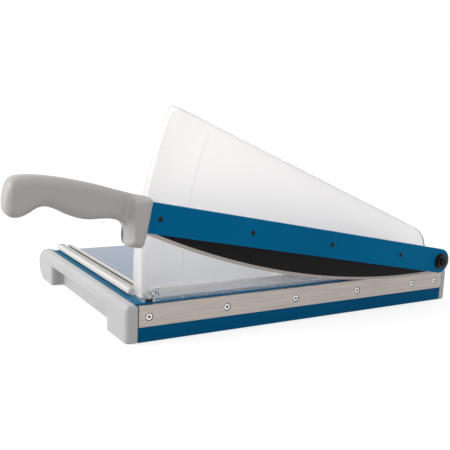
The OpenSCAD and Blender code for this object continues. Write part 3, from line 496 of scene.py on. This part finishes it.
edge_places = [Vector((0, y, edge_screw_z)) for y in edge_screw_ys]
edge_bar = soften(prism([(-edge_t, edge_bottom), (0, edge_bottom), (0, edge_top), (-edge_t, edge_top)],
                        "y", 0, edge_len), edge_break)
sink = [(0, -edge_t - over), (sink_hole_r, -edge_t - over), (sink_hole_r, sink_low), (sink_r, sink_high),
        (sink_r, over), (0, over)]
sinks = [turned(sink, Matrix.Translation(place) @ to_right) for place in edge_places]
edge_bar = combined(edge_bar, "DIFFERENCE", sinks)
# The countersinks round the screw heads take the dark second material: painted shade for the gap round each
# head.
for flat in edge_bar.faces:
    spot = flat.calc_center_median()
    sunk = any((spot - place).yz.length < sink_r + fit for place in edge_places)
    flat.material_index = int(sunk and fit - edge_t < spot.x < -fit)
fitted("brushed_cutting_edge", edge_bar, bench, "base", [edge_steel, dark_steel_and_shade],
       ["counter_blade"])
edge_screws = screws(edge_places, edge_head, socket_r=1.6, socket_depth=2, face=-0.1, aim=to_right)
fitted("countersunk_edge_screws", edge_screws, bench, "base", [screw_steel, dark_steel_and_shade],
       ["counter_blade_screws"])


# Guide rail
# A drawn aluminium rail across the front of the table, square to the cutting edge, with a slot for a paper
# stop. Its foot is set back under the front wall, and three screws in the slot hold it.

rail_left, rail_right = -273.4, -34
rail_front, rail_foot, rail_back = 2.8, 6.8, 23.8
rail_under, rail_crest, rail_rear_top = 42, 47.5, 46.2
crest_round, lip_round, nib_round, rail_break = 2, 0.5, 0.3, 0.15
slot_front, slot_back, slot_floor, slot_shade_top = 12.5, 18.3, 42, 44.7
rail_screw_xs, rail_screw_y = (-248.4, -153.7, -59), 15.4
rail_head = [(0, 0), (2.1, 0), (2.5, -0.2), (2.6, -0.6), (1.5, -1.6), (0, -1.6)]
brush_along_x, end_on = (0.012, 1, 1), 0.5

rail_metal = surface("drawn_aluminium", tone(218, 215, 210), tone(229, 226, 221),
                     rough=(0.38, 0.5), patch=900, relief=0.2, fine=2600,
                     stretch=brush_along_x, depth=0.00005, fixed={"Metallic": 0.2})
slot_painted_shade = surface("slot_painted_shade", tone(82, 74, 68), tone(104, 96, 90),
                     rough=(0.6, 0.7), patch=200, relief=0.2, fine=2600)
rail = prism([(rail_foot, table_top), (rail_foot, rail_under), (rail_front, rail_under, nib_round),
              (rail_front, rail_crest, crest_round), (slot_front, rail_crest, lip_round),
              (slot_front, slot_floor), (slot_back, slot_floor), (slot_back, slot_shade_top),
              (slot_back, rail_rear_top, nib_round), (rail_back, rail_rear_top, crest_round),
              (rail_back, table_top)], "x", rail_left, rail_right)
soften(rail, rail_break)
# The slot's walls and floor, up to a little below the rear wall's top, are coloured dark brown: painted
# shade for the shadow down in the slot.
for flat in rail.faces:
    spot = flat.calc_center_median()
    in_slot = slot_front - fit < spot.y < slot_back + fit and slot_floor - fit < spot.z < slot_shade_top
    flat.material_index = int(in_slot and abs(flat.normal.x) < end_on)
fitted("slotted_guide_rail", rail, bench, "base", [rail_metal, slot_painted_shade], ["guide_rail"])
rail_places = [Vector((x, rail_screw_y, slot_floor)) for x in rail_screw_xs]
rail_screws = screws(rail_places, rail_head, socket_r=1.2, socket_depth=0.9, face=1, aim=Matrix())
fitted("guide_slot_screws", rail_screws, bench, "base", [screw_steel, dark_steel_and_shade],
       ["guide_rail_screws"])


# Scale strip
# A white strip let into the top of the guide rail, graduated in millimetres from the cutting edge.
# The figures count centimetres.

strip_low, strip_high = bench_box("scale_strip")
first_cm, last_cm, figure_every = 4, 27, 2
line_w, cm_line, half_line, mm_line = 0.13, 2.2, 1.7, 1.2
figure_h, line_margin, figure_margin, end_margin, strip_break = 1.7, 0.2, 0.35, 1, 0.12

strip_white = surface("scale_white", tone(220, 216, 210), tone(228, 224, 219),
                      rough=(0.35, 0.45), patch=60, relief=0.08, fine=2400)
scale_grey = surface("scale_grey", tone(168, 165, 162), tone(180, 177, 174),
                     rough=(0.4, 0.5), patch=200, relief=0.05, fine=2400)
strip = soften(block(strip_low, strip_high), strip_break)
fitted("graduated_strip", strip, bench, "base", [strip_white], ["scale_strip"])
graduation = bmesh.new()
line_low, line_high = strip_high.z - ink_t / 2, strip_high.z + ink_t / 2
line_end = strip_high.y - line_margin
for millimetre in range(10 * first_cm, 10 * last_cm + 1):
    if -millimetre < strip_low.x + end_margin:
        break
    length = cm_line if millimetre % 10 == 0 else half_line if millimetre % 5 == 0 else mm_line
    block((-millimetre - line_w / 2, line_end - length, line_low),
          (-millimetre + line_w / 2, line_end, line_high), graduation)
for centimetre in range(first_cm, last_cm, figure_every):
    figures = bpy.data.curves.new("figures", "FONT")
    figures.body, figures.size = str(centimetre), figure_h
    figures.align_x, figures.align_y = "CENTER", "BOTTOM"
    holder = bpy.data.objects.new("figures", figures)
    scene.collection.objects.link(holder)
    strokes = bpy.data.meshes.new_from_object(holder.evaluated_get(bpy.context.evaluated_depsgraph_get()))
    bpy.data.objects.remove(holder)
    figure = bmesh.new()
    figure.from_mesh(strokes)
    bpy.data.meshes.remove(strokes)
    bmesh.ops.translate(figure, verts=figure.verts,
                        vec=(-10 * centimetre, strip_low.y + figure_margin, line_high))
    graduation = together([graduation, figure])
fitted("scale_graduation", graduation, bench, "base", [scale_grey])


# Arm pivot
# A painted bracket in the beam holds a shoulder bolt, and the arm turns on it between a bronze washer and
# a black washer. Two dished springs and a collared nut press the arm lightly against the bracket.

pivot = next(joint for joint in frame["joints"] if joint["name"] == "arm_pivot")
pivot_at = bench.inverted() @ Vector(pivot["pos_m"])
pivot_at.x = 0
on_pivot = Matrix.Translation(pivot_at) @ to_right
round_steps = 48
washer_profile = [(5.2, 9.4), (9.9, 9.4), (10.4, 9.8), (10.4, 10.5), (9.9, 11), (5.2, 11), (5.2, 9.4)]
spring_rim = [(8.3, 11.6), (8.4, 12), (8.3, 12.5)]
spring_bore, spring_low, spring_high = 3.4, 11, 11.9
spring_stack = ((0, 0.1), (2.1, 0.9))
nut_r, nut_h, nut_seat, nut_break = 10 / math.sqrt(3), 3, 14, 0.5
nut_bore, bore_top = 3.15, 22
collar_profile = [(0, 16), (4.2, 16), (4.2, 17.6), (3.8, 18), (0, 18)]
thread_r, thread_depth, thread_from, thread_step, thread_turns = 3.1, 0.22, 9.6, 0.35, 26
bolt_shank = [(0, -13), (8, -13), (8, -10.8), (5, -10.5), (5, 9.3), (thread_r, 9.4)]
bolt_end = [(2.6, 18.8), (0, 18.8)]

bronze = surface("bush_bronze", tone(150, 112, 66), tone(178, 138, 86),
                 rough=(0.25, 0.4), patch=300, relief=0.1, fine=2000,
                 fixed={"Metallic": 1})
black_oxide = surface("black_oxide", tone(14, 14, 15), tone(26, 25, 25),
                      rough=(0.3, 0.42), patch=400, relief=0.12, fine=2600,
                      fixed={"Metallic": 0.4})
for node, material in (("pivot_bracket", beam_paint), ("bracket_screws", dark_steel_and_shade),
                       ("thrust_washer", bronze), ("arm_bush", bronze)):
    dress(node, material)


def bore(radius, low, high):
    """The profile of a plain round hole."""
    return [(0, low), (radius, low), (radius, high), (0, high)]


washer = turned(washer_profile, on_pivot, round_steps)
fitted("black_pivot_washer", washer, bench, "base", [black_oxide], ["pivot_washer"])
springs = []
for rise, lean in spring_stack:
    dish = [(spring_bore, spring_low + rise), *[(radius, height + lean) for radius, height in spring_rim],
            (spring_bore, spring_high + rise), (spring_bore, spring_low + rise)]
    springs.append(turned(dish, on_pivot, round_steps))
fitted("dished_springs", together(springs), bench, "base", [dark_steel_and_shade], ["disc_springs"])
nut = bmesh.new()
bmesh.ops.create_cone(nut, cap_ends=True, cap_tris=False, segments=6, radius1=nut_r, radius2=nut_r,
                      depth=nut_h, matrix=on_pivot @ Matrix.Translation((0, 0, nut_seat + nut_h / 2)))
soften(nut, nut_break, segments=3)
nut = combined(nut, "UNION", [turned(collar_profile, on_pivot)])
nut = combined(nut, "DIFFERENCE", [turned(bore(nut_bore, nut_seat - over, bore_top), on_pivot)])
fitted("collared_nut", nut, bench, "base", [dark_steel_and_shade], ["pivot_nut"])
thread = [(thread_r - thread_depth * (turn % 2), thread_from + thread_step * turn)
          for turn in range(thread_turns)]
bolt = turned([*bolt_shank, *thread, *bolt_end], on_pivot)
fitted("shoulder_bolt", bolt, bench, "base", [dark_steel_and_shade], ["pivot_bolt"])


# Guide pins and cushion rings
# Two slotted chrome pins stand in the table and guide the clamp's lugs.
# A black rubber ring round each pin carries the lug, and gives when the clamp is pressed down.

pin_x, pin_ys, pin_r = -9.2, (14.5, 378), 2
pin_profile = [(0, 30), (pin_r, 30), (pin_r, 47.1), (2.4, 47.15), (2.7, 47.5), (2.7, 49.2), (2.3, 49.7),
               (0, 49.7)]
groove_profile = [(2.15, 48.2), (4, 48.2), (4, 48.6), (2.15, 48.6), (2.15, 48.2)]
driver_reach, driver_half, driver_low, driver_high = 4, 0.4, 48.7, 51
ring_profile = [(2.3, 40), (3.5, 40), (3.9, 40.4), (4, 41.5), (3.9, 42.6), (3.5, 43), (2.3, 43), (2.3, 40)]

pin_chrome = surface("pin_chrome", tone(150, 152, 156), tone(182, 184, 188),
                     rough=(0.08, 0.16), patch=300, relief=0.04, fine=2000,
                     fixed={"Metallic": 1})
pins, rings = [], []
for pin_y in pin_ys:
    at = Matrix.Translation((pin_x, pin_y, 0))
    driver_slot = block((pin_x - driver_reach, pin_y - driver_half, driver_low),
                        (pin_x + driver_reach, pin_y + driver_half, driver_high))
    pins.append(combined(turned(pin_profile, at), "DIFFERENCE", [driver_slot, turned(groove_profile, at)]))
    rings.append(turned(ring_profile, at))
fitted("slotted_guide_pins", together(pins), bench, "base", [pin_chrome], ["guide_pins"])
cushions = fitted("rubber_cushion_rings", together(rings), bench, "base", [rubber],
                  ["cushion_rings"])
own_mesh(cushions)


# Guard and clamp
# A tall frosted acrylic sheet keeps fingers from the knife. It is bent over along its curved front edge,
# scored with one faint line and milky along its foot, where two clear lugs slide on the guide pins.
# A clear bar behind the foot presses the paper flat.

guard_face, guard_t = -13.5, 3
guard_back = guard_face - guard_t
guard_foot, guard_rear = 42, 403.4
sweep_y, sweep_z, sweep_r = 396.5, 78, 390
crown_y, crown_z, guard_slope, shoulder_round = 39.5, 234, math.radians(22.1), 22
flange_w, flange_foot_w, wide_below, slim_above = 12.5, 19, 80, 150
fold_r, band_top, cut_from, wall_core = 7, 51, 60, 0.5
notch_front, notch_rear, notch_top = 20, 28, 51.5
slit_front, slit_rear, slit_low, slit_high = 51.6, 52.4, 49.5, 57
score_r, score_w, score_lift = 341.6, 3, 0.02
score_start, score_sweep, score_steps = math.pi + 0.058, 0.453, 24
lug_bottom, lug_top, lug_right, lug_half = 43, 47, -4.7, 4.5
lug_round, lug_break, lug_hole_r = 3.5, 0.4, 2.25
clamp_back, clamp_top, clamp_front, clamp_rear = -24.5, 50.5, 28, 388.4
clamp_heel, clamp_round, clamp_break = 0.8, 2.5, 0.3

frosted = surface("frosted_acrylic", tone(253, 250, 249), tone(254, 252, 250),
                  rough=(0.78, 0.86), patch=30, relief=0.04, fine=1800,
                  fixed={"Transmission Weight": 0.95, "IOR": 1.49})
milky = surface("milky_acrylic", tone(252, 251, 252), tone(254, 253, 254),
                rough=(0.92, 1), patch=40, relief=0.05, fine=1800,
                fixed={"Transmission Weight": 0.3, "IOR": 1.49})
scored = surface("scored_acrylic", tone(150, 146, 144), tone(164, 160, 158),
                 rough=(0.5, 0.6), patch=30, relief=0.04, fine=1800,
                 fixed={"Alpha": 0.025})
edge_shade_acrylic = surface("edge_shade_acrylic", tone(172, 172, 177), tone(190, 190, 194),
                      rough=(0.3, 0.4), patch=60, relief=0.1, fine=2400,
                      fixed={"Transmission Weight": 0.35, "IOR": 1.49})
polished = surface("polished_acrylic", tone(252, 252, 253), tone(254, 254, 254),
                   rough=(0.02, 0.05), patch=30, relief=0.01, fine=1800,
                   fixed={"Transmission Weight": 0.95, "IOR": 1.49})


def sweep_angle(y, z):
    """Angle of a point seen from the centre of the guard's curved front."""
    return math.atan2(z - sweep_z, y - sweep_y) % (2 * math.pi)


guard = bmesh.new()
front_y = sweep_y - math.sqrt(sweep_r ** 2 - (sweep_z - guard_foot) ** 2)
toe = guard.verts.new((guard_face, front_y, guard_foot))
bmesh.ops.spin(guard, geom=[toe], cent=(guard_face, sweep_y, sweep_z), axis=(1, 0, 0), steps=40,
               angle=sweep_angle(crown_y, crown_z) - sweep_angle(front_y, guard_foot))
guard.verts.ensure_lookup_table()
front_line, front_edges = guard.verts[:], guard.edges[:]
shoulder_z = crown_z - (guard_rear - crown_y) * math.tan(guard_slope)
shoulder = guard.verts.new((guard_face, guard_rear, shoulder_z))
heel = guard.verts.new((guard_face, guard_rear, guard_foot))
guard.faces.new([*front_line, shoulder, heel])
bmesh.ops.bevel(guard, geom=[shoulder], offset=shoulder_round, offset_type="OFFSET", segments=12,
                profile=0.5, affect="VERTICES", material=-1)
flange = bmesh.ops.extrude_edge_only(guard, edges=front_edges)["geom"]
for vert in (item for item in flange if isinstance(item, bmesh.types.BMVert)):
    share = min(max((slim_above - vert.co.z) / (slim_above - wide_below), 0), 1)
    vert.co.x -= flange_w + (flange_foot_w - flange_w) * share
bmesh.ops.bevel(guard, geom=front_edges, offset=fold_r, offset_type="OFFSET", segments=8, profile=0.5,
                affect="EDGES", material=-1)
bmesh.ops.recalc_face_normals(guard, faces=guard.faces)
if max(guard.faces, key=lambda face: face.calc_area()).normal.x < 0:
    bmesh.ops.reverse_faces(guard, faces=guard.faces)
guard = worked(guard, ("SOLIDIFY", {"thickness": guard_t, "offset": -1, "use_even_offset": True}))
pin_notch = block((guard_back - over, notch_front, guard_foot - over),
                  (guard_face + over, notch_rear, notch_top))
foot_slit = block((guard_back - over, slit_front, slit_low), (guard_face + over, slit_rear, slit_high))
guard = combined(guard, "DIFFERENCE", [pin_notch, foot_slit])
scribe(guard, (0, 0, band_top), (0, 0, 1))
# The cut edges of the sheet, away from its foot, take a grey colour: painted shade for the dark line that
# runs along them.
for flat in guard.faces:
    spot = flat.calc_center_median()
    in_wall = abs(flat.normal.x) < facing and abs(spot.x - guard_face + guard_t / 2) < wall_core
    shaded_cut_edge = in_wall and min(spot.y, spot.z) > cut_from
    flat.material_index = 2 if shaded_cut_edge else int(spot.y > notch_rear and spot.z < band_top)
fitted("frosted_guard", guard, bench, "clamp_guard", [frosted, milky, edge_shade_acrylic],
       ["guard_sheet"])
score_turns = [score_start - score_sweep * step / score_steps for step in range(score_steps + 1)]
score_runs = ((score_r, score_turns), (score_r + score_w, score_turns[::-1]))
score_line = [(sweep_y + radius * math.cos(turn), sweep_z + radius * math.sin(turn))
              for radius, run in score_runs for turn in run]
score = prism(score_line, "x", guard_face + score_lift, guard_face + ink_t)
fitted("guard_scored_line", score, bench, "clamp_guard", [scored])
lugs, lug_holes = [], []
for pin_y in pin_ys:
    lug = prism([(guard_face, pin_y - lug_half), (lug_right, pin_y - lug_half, lug_round),
                 (lug_right, pin_y + lug_half, lug_round), (guard_face, pin_y + lug_half)],
                "z", lug_bottom, lug_top)
    lugs.append(soften(lug, lug_break))
    lug_holes.append(turned(bore(lug_hole_r, lug_bottom - over, lug_top + over),
                            Matrix.Translation((pin_x, pin_y, 0))))
lugs = combined(together(lugs), "DIFFERENCE", lug_holes)
fitted("clear_guard_lugs", lugs, bench, "clamp_guard", [polished])
clamp = prism([(clamp_back, guard_foot, clamp_heel), (guard_back, guard_foot), (guard_back, clamp_top),
               (clamp_back, clamp_top, clamp_round)], "y", clamp_front, clamp_rear)
fitted("clear_clamp_foot", soften(clamp, clamp_break), bench, "clamp_guard", [polished],
       ["clamp_foot"])


# Arm bar
# A flat steel bar, painted blue, with a round end on the pivot and a tang inside the handle.
# Four countersunk holes along its middle take the screws of the knife.

arm_angle = math.radians(10.36)
arm_in, arm_out, arm_half = 3.2, 9.2, 15.2
arm_len, bar_end, bar_break = 409.5, 413.5, 0.5
tang_end, tang_top, tang_low = bar_end + 56, 5, -4
eye_r, eye_depth = 7.05, 12
first_screw, screw_gap, screw_count = 71, 109.17, 4
well_profile = [(0, arm_in - over), (2.1, arm_in - over), (2.1, 8.1), (2.8, 8.2), (2.8, 10), (0, 10)]
knife_head = [(0, 0), (2.3, 0), (2.6, -0.3), (2.6, -0.9), (2, -0.9), (2, -6), (0, -6)]
on_arm = bench @ Matrix.Translation(pivot_at) @ Matrix.Rotation(-arm_angle, 4, "X")

arm_paint = surface("arm_paint", tone(0, 108, 157), tone(0, 117, 168),
                    rough=(0.3, 0.38), patch=8, relief=0.12, fine=900,
                    fixed={"Specular IOR Level": 0.04})
bar = prism([(arm_half, -arm_half, arm_half), (arm_half, arm_half, arm_half), (-bar_end, arm_half),
             (-bar_end, tang_top), (-tang_end, tang_top), (-tang_end, tang_low), (-bar_end, tang_low),
             (-bar_end, -arm_half)], "x", arm_in, arm_out, segments=20)
soften(bar, bar_break)
knife_places = [Vector((0, -first_screw - screw_gap * place, 0)) for place in range(screw_count)]
screw_wells = [turned(well_profile, Matrix.Translation(place) @ to_right) for place in knife_places]
eye = turned(bore(eye_r, 0, eye_depth), to_right, round_steps)
bar = combined(bar, "DIFFERENCE", [*screw_wells, eye])
fitted("painted_arm_bar", bar, on_arm, "knife_arm", [arm_paint], ["arm_bar"])
knife_screws = screws(knife_places, knife_head, socket_r=1.35, socket_depth=1.1, face=9.05, aim=to_right)
fitted("socket_knife_screws", knife_screws, on_arm, "knife_arm", [black_oxide, dark_steel_and_shade],
       ["knife_screws"])


# Knife
# A blade of black tool steel screwed to the inside of the arm, with a bowed cutting edge.
# The edge is ground bright along its outer face.

knife_in, knife_out, knife_top = 0.2, 3.2, 10
bow_r, bow_u, bow_low = 880, 204.75, -40.8
knife_len, bevel_w, edge_land = 408, 3.7, 0.3
knife_steps = 60

knife_black = surface("knife_black", tone(18, 17, 17), tone(27, 25, 25),
                      rough=(0.34, 0.46), patch=500, relief=0.12, fine=2400,
                      stretch=(1, 0.05, 1), fixed={"Specular IOR Level": 0.1})
ground_steel = surface("ground_steel", tone(150, 141, 136), tone(178, 169, 163),
                       rough=(0.28, 0.4), patch=2200, relief=0.2, fine=3000,
                       stretch=(1, 1, 0.02), depth=0.00004, fixed={"Metallic": 1})
knife = prism([(knife_in, bow_low), (knife_in + edge_land, bow_low), (knife_out, bow_low + bevel_w),
               (knife_out, knife_top), (knife_in, knife_top)], "y", 0, -knife_len)
along = [edge for edge in knife.edges if abs(edge.verts[0].co.y - edge.verts[1].co.y) > knife_len / 2]
bmesh.ops.subdivide_edges(knife, edges=along, cuts=knife_steps - 1, use_grid_fill=True)
for vert in knife.verts:
    if vert.co.z < 0:
        vert.co.z += bow_r - math.sqrt(bow_r ** 2 - (-vert.co.y - bow_u) ** 2)
bmesh.ops.recalc_face_normals(knife, faces=knife.faces)
for face in knife.faces:
    face.material_index = int(face.normal.x > facing and face.normal.z < -facing)
fitted("bowed_knife", knife, on_arm, "knife_arm", [knife_black, ground_steel],
       ["knife_blade"])


# Handle
# A grip of grey plastic in two halves, moulded with a hand stop in front of the arm's end and a hook at its
# tip. The halves close round the arm's tang, and three screws from the inside hold them.

handle_in, parting, parting_gap = 0.8, 3.2, 0.35
grip_out, stop_out, web_out = 23, 25.8, 13
handle_voxel, handle_rounds = 0.9, 6
knot_share, inner_dome, dome_steps, ring_start, core_share = 46, 2, 6, 0.001, 0.5
slice_near, slice_far, slice_gap = 16, 84, 4
waist, waist_far, waist_run, waist_power = 0.49, 75, 50, 1.5
stop_lean, stop_start = 0.18, 3
valley_near, valley_far, valley_low, valley_rounds = 14, 46, -15, 4
grip_line = [(6, 18.6), (18, 19.7), (38, 21), (62, 23.3), (88, 23.8), (108, 23.2), (126, 20.9),
             (137.4, 16.8), (139.9, 7), (139.4, -8), (134.7, -16.8), (126.5, -17.2), (118.5, -12.6),
             (109, -3.2), (97, -3.4), (84, -8), (66, -10.4), (48, -6.6), (36, -6), (26, -8), (16, -14),
             (6, -10)]
grip_core = [(14, 6), (54, 6.5), (92, 9), (126, 6), (134.5, 4), (133.5, -7)]
stop_line = [(3, 12), (3.2, 19.6), (9.5, 19.8), (20, 19.8), (26, 14), (26.5, 0), (22.6, -15),
             (21.2, -24.5), (20.3, -29.8), (13, -30.2), (5.2, -30), (3.4, -24), (3, -4)]
flange_line = [(3, 12), (3.2, 19.6), (9.5, 19.8), (17, 19.8), (22, 14), (24.6, 0), (24.9, -15),
               (23.4, -24.5), (19.5, -29.8), (13, -30.2), (5.2, -30), (3.4, -24), (3, -4)]
stop_core = [(21.6, 9), (21.6, 0), (17.4, -22)]
web_line = [(12, 6), (30, 6), (37, -5.2), (27.4, -8.2), (23, -15), (21.2, -22), (12, -22)]
web_core = [(19, 0), (17, -14)]

handle_plastic = surface("handle_plastic", tone(187, 183, 181), tone(193, 189, 187),
                         rough=(0.45, 0.55), patch=20, relief=0.3, fine=3200,
                         depth=0.00006)


def on_side(line):
    """Places along and across the arm, counted from its end, as points of the side view."""
    return [Vector((-arm_len - u, w)) for u, w in line]


def nearest(spot, line):
    """The point of a bent line that lies nearest to a spot of the side view."""
    feet = [start.lerp(end, min(max(intersect_point_line(spot, start, end)[1], 0), 1))
            for start, end in zip(line, line[1:])]
    return min(feet, key=lambda foot: (foot - spot).length)


def grip_form(line, core, outer, rim_in, rim_out):
    """A closed run of knots rounded into a smooth outline, drawn out, and domed towards both faces round
    a core."""
    bm = bmesh.new()
    knots = [bm.verts.new((handle_in + inner_dome, *spot)) for spot in on_side(line)]
    bm.faces.new(knots)
    bmesh.ops.bevel(bm, geom=knots, offset=knot_share, offset_type="PERCENT", segments=7, profile=0.5,
                    affect="VERTICES", material=-1)
    draw_out(bm, bm.faces[:], "x", outer - rim_out - handle_in - inner_dome)
    for way, inset, rise in ((1, rim_in, rim_out), (-1, inner_dome, inner_dome)):
        face = max(bm.faces, key=lambda item: item.normal.x * way * item.calc_area())
        for step in range(dome_steps):
            low, high = (math.pi / 2 * (step + end) / dome_steps for end in (0, 1))
            bmesh.ops.inset_region(bm, faces=[face], thickness=ring_start)
            for vert in face.verts:
                inwards = nearest(vert.co.yz, on_side(core)) - vert.co.yz
                inwards *= min(inset * (math.cos(low) - math.cos(high)) / inwards.length, core_share)
                vert.co += Vector((way * rise * (math.sin(high) - math.sin(low)), *inwards))
    return bm


def handle_form(stop):
    """Grip and hand stop run into one moulding, with a smooth valley between them."""
    grip = grip_form(grip_line, grip_core, grip_out, rim_in=8.5, rim_out=8.5)
    for place in range(slice_near, slice_far, slice_gap):
        scribe(grip, (0, -arm_len - place, 0), (0, 1, 0))
    for vert in grip.verts:
        near_stop = min(max((waist_far + arm_len + vert.co.y) / waist_run, 0), 1)
        vert.co.x -= waist * near_stop ** waist_power * (vert.co.x - handle_in)
    post = grip_form(stop, stop_core, stop_out, rim_in=9, rim_out=16)
    for vert in post.verts:
        share = max(vert.co.x - handle_in, 0) / (stop_out - handle_in)
        vert.co.x -= stop_lean * share * max(-vert.co.y - arm_len - stop_start, 0)
    web = grip_form(web_line, web_core, web_out, rim_in=5, rim_out=9)
    bm = fused(together([grip, post, web]), handle_voxel, handle_rounds)
    valley = [vert for vert in bm.verts
              if valley_near < -vert.co.y - arm_len < valley_far and vert.co.z > valley_low]
    return smoothed(bm, valley, valley_rounds)


def half(bm, level, keep):
    """One half of the handle, cut at the parting and closed."""
    scribe(bm, (level, 0, 0), (1, 0, 0), clear_inner=keep > 0, clear_outer=keep < 0)
    bmesh.ops.holes_fill(bm, edges=[edge for edge in bm.edges if edge.is_boundary], sides=0)
    bmesh.ops.recalc_face_normals(bm, faces=bm.faces)
    return bm


outer_half = half(handle_form(stop_line), parting, 1)
fitted("handle_outer_half", outer_half, on_arm, "knife_arm", [handle_plastic],
       ["handle_outer_shell"], mould_crease)
inner_half = half(handle_form(flange_line), parting - parting_gap, -1)
fitted("handle_inner_half", inner_half, on_arm, "knife_arm", [handle_plastic],
       ["handle_inner_cover"], mould_crease)
dress("handle_screws", dark_steel_and_shade)


# Studio
# A white floor that keeps a faint shadow, an even white surround and one broad lamp from the front left.
# Floor and surround are white to the camera and in reflections, and dimmer as light on the object.

white = (1, 1, 1, 1)
floor_reach, floor_shade, floor_glow, surround = 6, 0.45, 0.72, 0.75
lamp_spot, lamp_aim = Vector((-1.5, -2.8, 1)), Vector((0, 0, 0.05))


def seen(nodes, links):
    """One for what the camera sees directly, mirrored or through clear plastic; nothing for other light."""
    path = nodes.new("ShaderNodeLightPath")
    total = path.outputs["Is Camera Ray"]
    for kind in ("Is Glossy Ray", "Is Transmission Ray"):
        larger = nodes.new("ShaderNodeMath")
        larger.operation = "MAXIMUM"
        links.new(total, larger.inputs[0])
        links.new(path.outputs[kind], larger.inputs[1])
        total = larger.outputs[0]
    return total


floor_mesh = bmesh.new()
bmesh.ops.create_grid(floor_mesh, x_segments=1, y_segments=1, size=floor_reach)
floor_data = bpy.data.meshes.new("studio_floor")
floor_mesh.to_mesh(floor_data)
floor_mesh.free()
floor = bpy.data.objects.new("studio_floor", floor_data)
scene.collection.objects.link(floor)
floor_white = bpy.data.materials.new("floor_white")
floor_white.use_nodes = True
nodes, links = floor_white.node_tree.nodes, floor_white.node_tree.links
nodes.clear()
paper, glow, both, out = (nodes.new(kind) for kind in ("ShaderNodeBsdfDiffuse", "ShaderNodeEmission",
                                                        "ShaderNodeAddShader", "ShaderNodeOutputMaterial"))
paper.inputs["Color"].default_value = (floor_shade, floor_shade, floor_shade, 1)
share = nodes.new("ShaderNodeMath")
share.operation = "MULTIPLY"
share.inputs[1].default_value = floor_glow
links.new(seen(nodes, links), share.inputs[0])
links.new(share.outputs[0], glow.inputs["Strength"])
links.new(paper.outputs[0], both.inputs[0])
links.new(glow.outputs[0], both.inputs[1])
links.new(both.outputs[0], out.inputs["Surface"])
floor_data.materials.append(floor_white)

world = bpy.data.worlds.new("studio")
world.use_nodes = True
scene.world = world
nodes, links = world.node_tree.nodes, world.node_tree.links
level = nodes.new("ShaderNodeMapRange")
level.inputs["To Min"].default_value = surround
level.inputs["To Max"].default_value = 1
links.new(seen(nodes, links), level.inputs["Value"])
nodes["Background"].inputs["Color"].default_value = white
links.new(level.outputs["Result"], nodes["Background"].inputs["Strength"])

key = bpy.data.lights.new("key_lamp", "AREA")
key.size, key.energy = 2, 60
key_lamp = bpy.data.objects.new("key_lamp", key)
key_lamp.location = lamp_spot
key_lamp.rotation_euler = (lamp_aim - lamp_spot).to_track_quat("-Z", "Y").to_euler()
scene.collection.objects.link(key_lamp)


# Camera
# Low and close at the right front corner, turned a little about its own axis, as the photograph was taken.
# Its place and lens were solved from the screws of the cutting edge and from edges square to each other.

azimuth, elevation, roll = (math.radians(angle) for angle in (58.9, 9.82, 2.55))
camera_spot = Vector((607.59, -272.54, 237.85))
view_data = bpy.data.cameras.new("camera")
view_data.lens, view_data.sensor_width = 55.895, 36
view_data.clip_start, view_data.clip_end = 0.01, 30
camera = bpy.data.objects.new("camera", view_data)
back = Vector((math.sin(azimuth) * math.cos(elevation), -math.cos(azimuth) * math.cos(elevation),
               math.sin(elevation)))
camera.location = bench @ camera_spot
camera.rotation_mode = "QUATERNION"
camera.rotation_quaternion = (-back).to_track_quat("-Z", "Y") @ Quaternion((0, 0, 1), roll)
scene.collection.objects.link(camera)
scene.camera = camera
scene.view_settings.view_transform = "Standard"
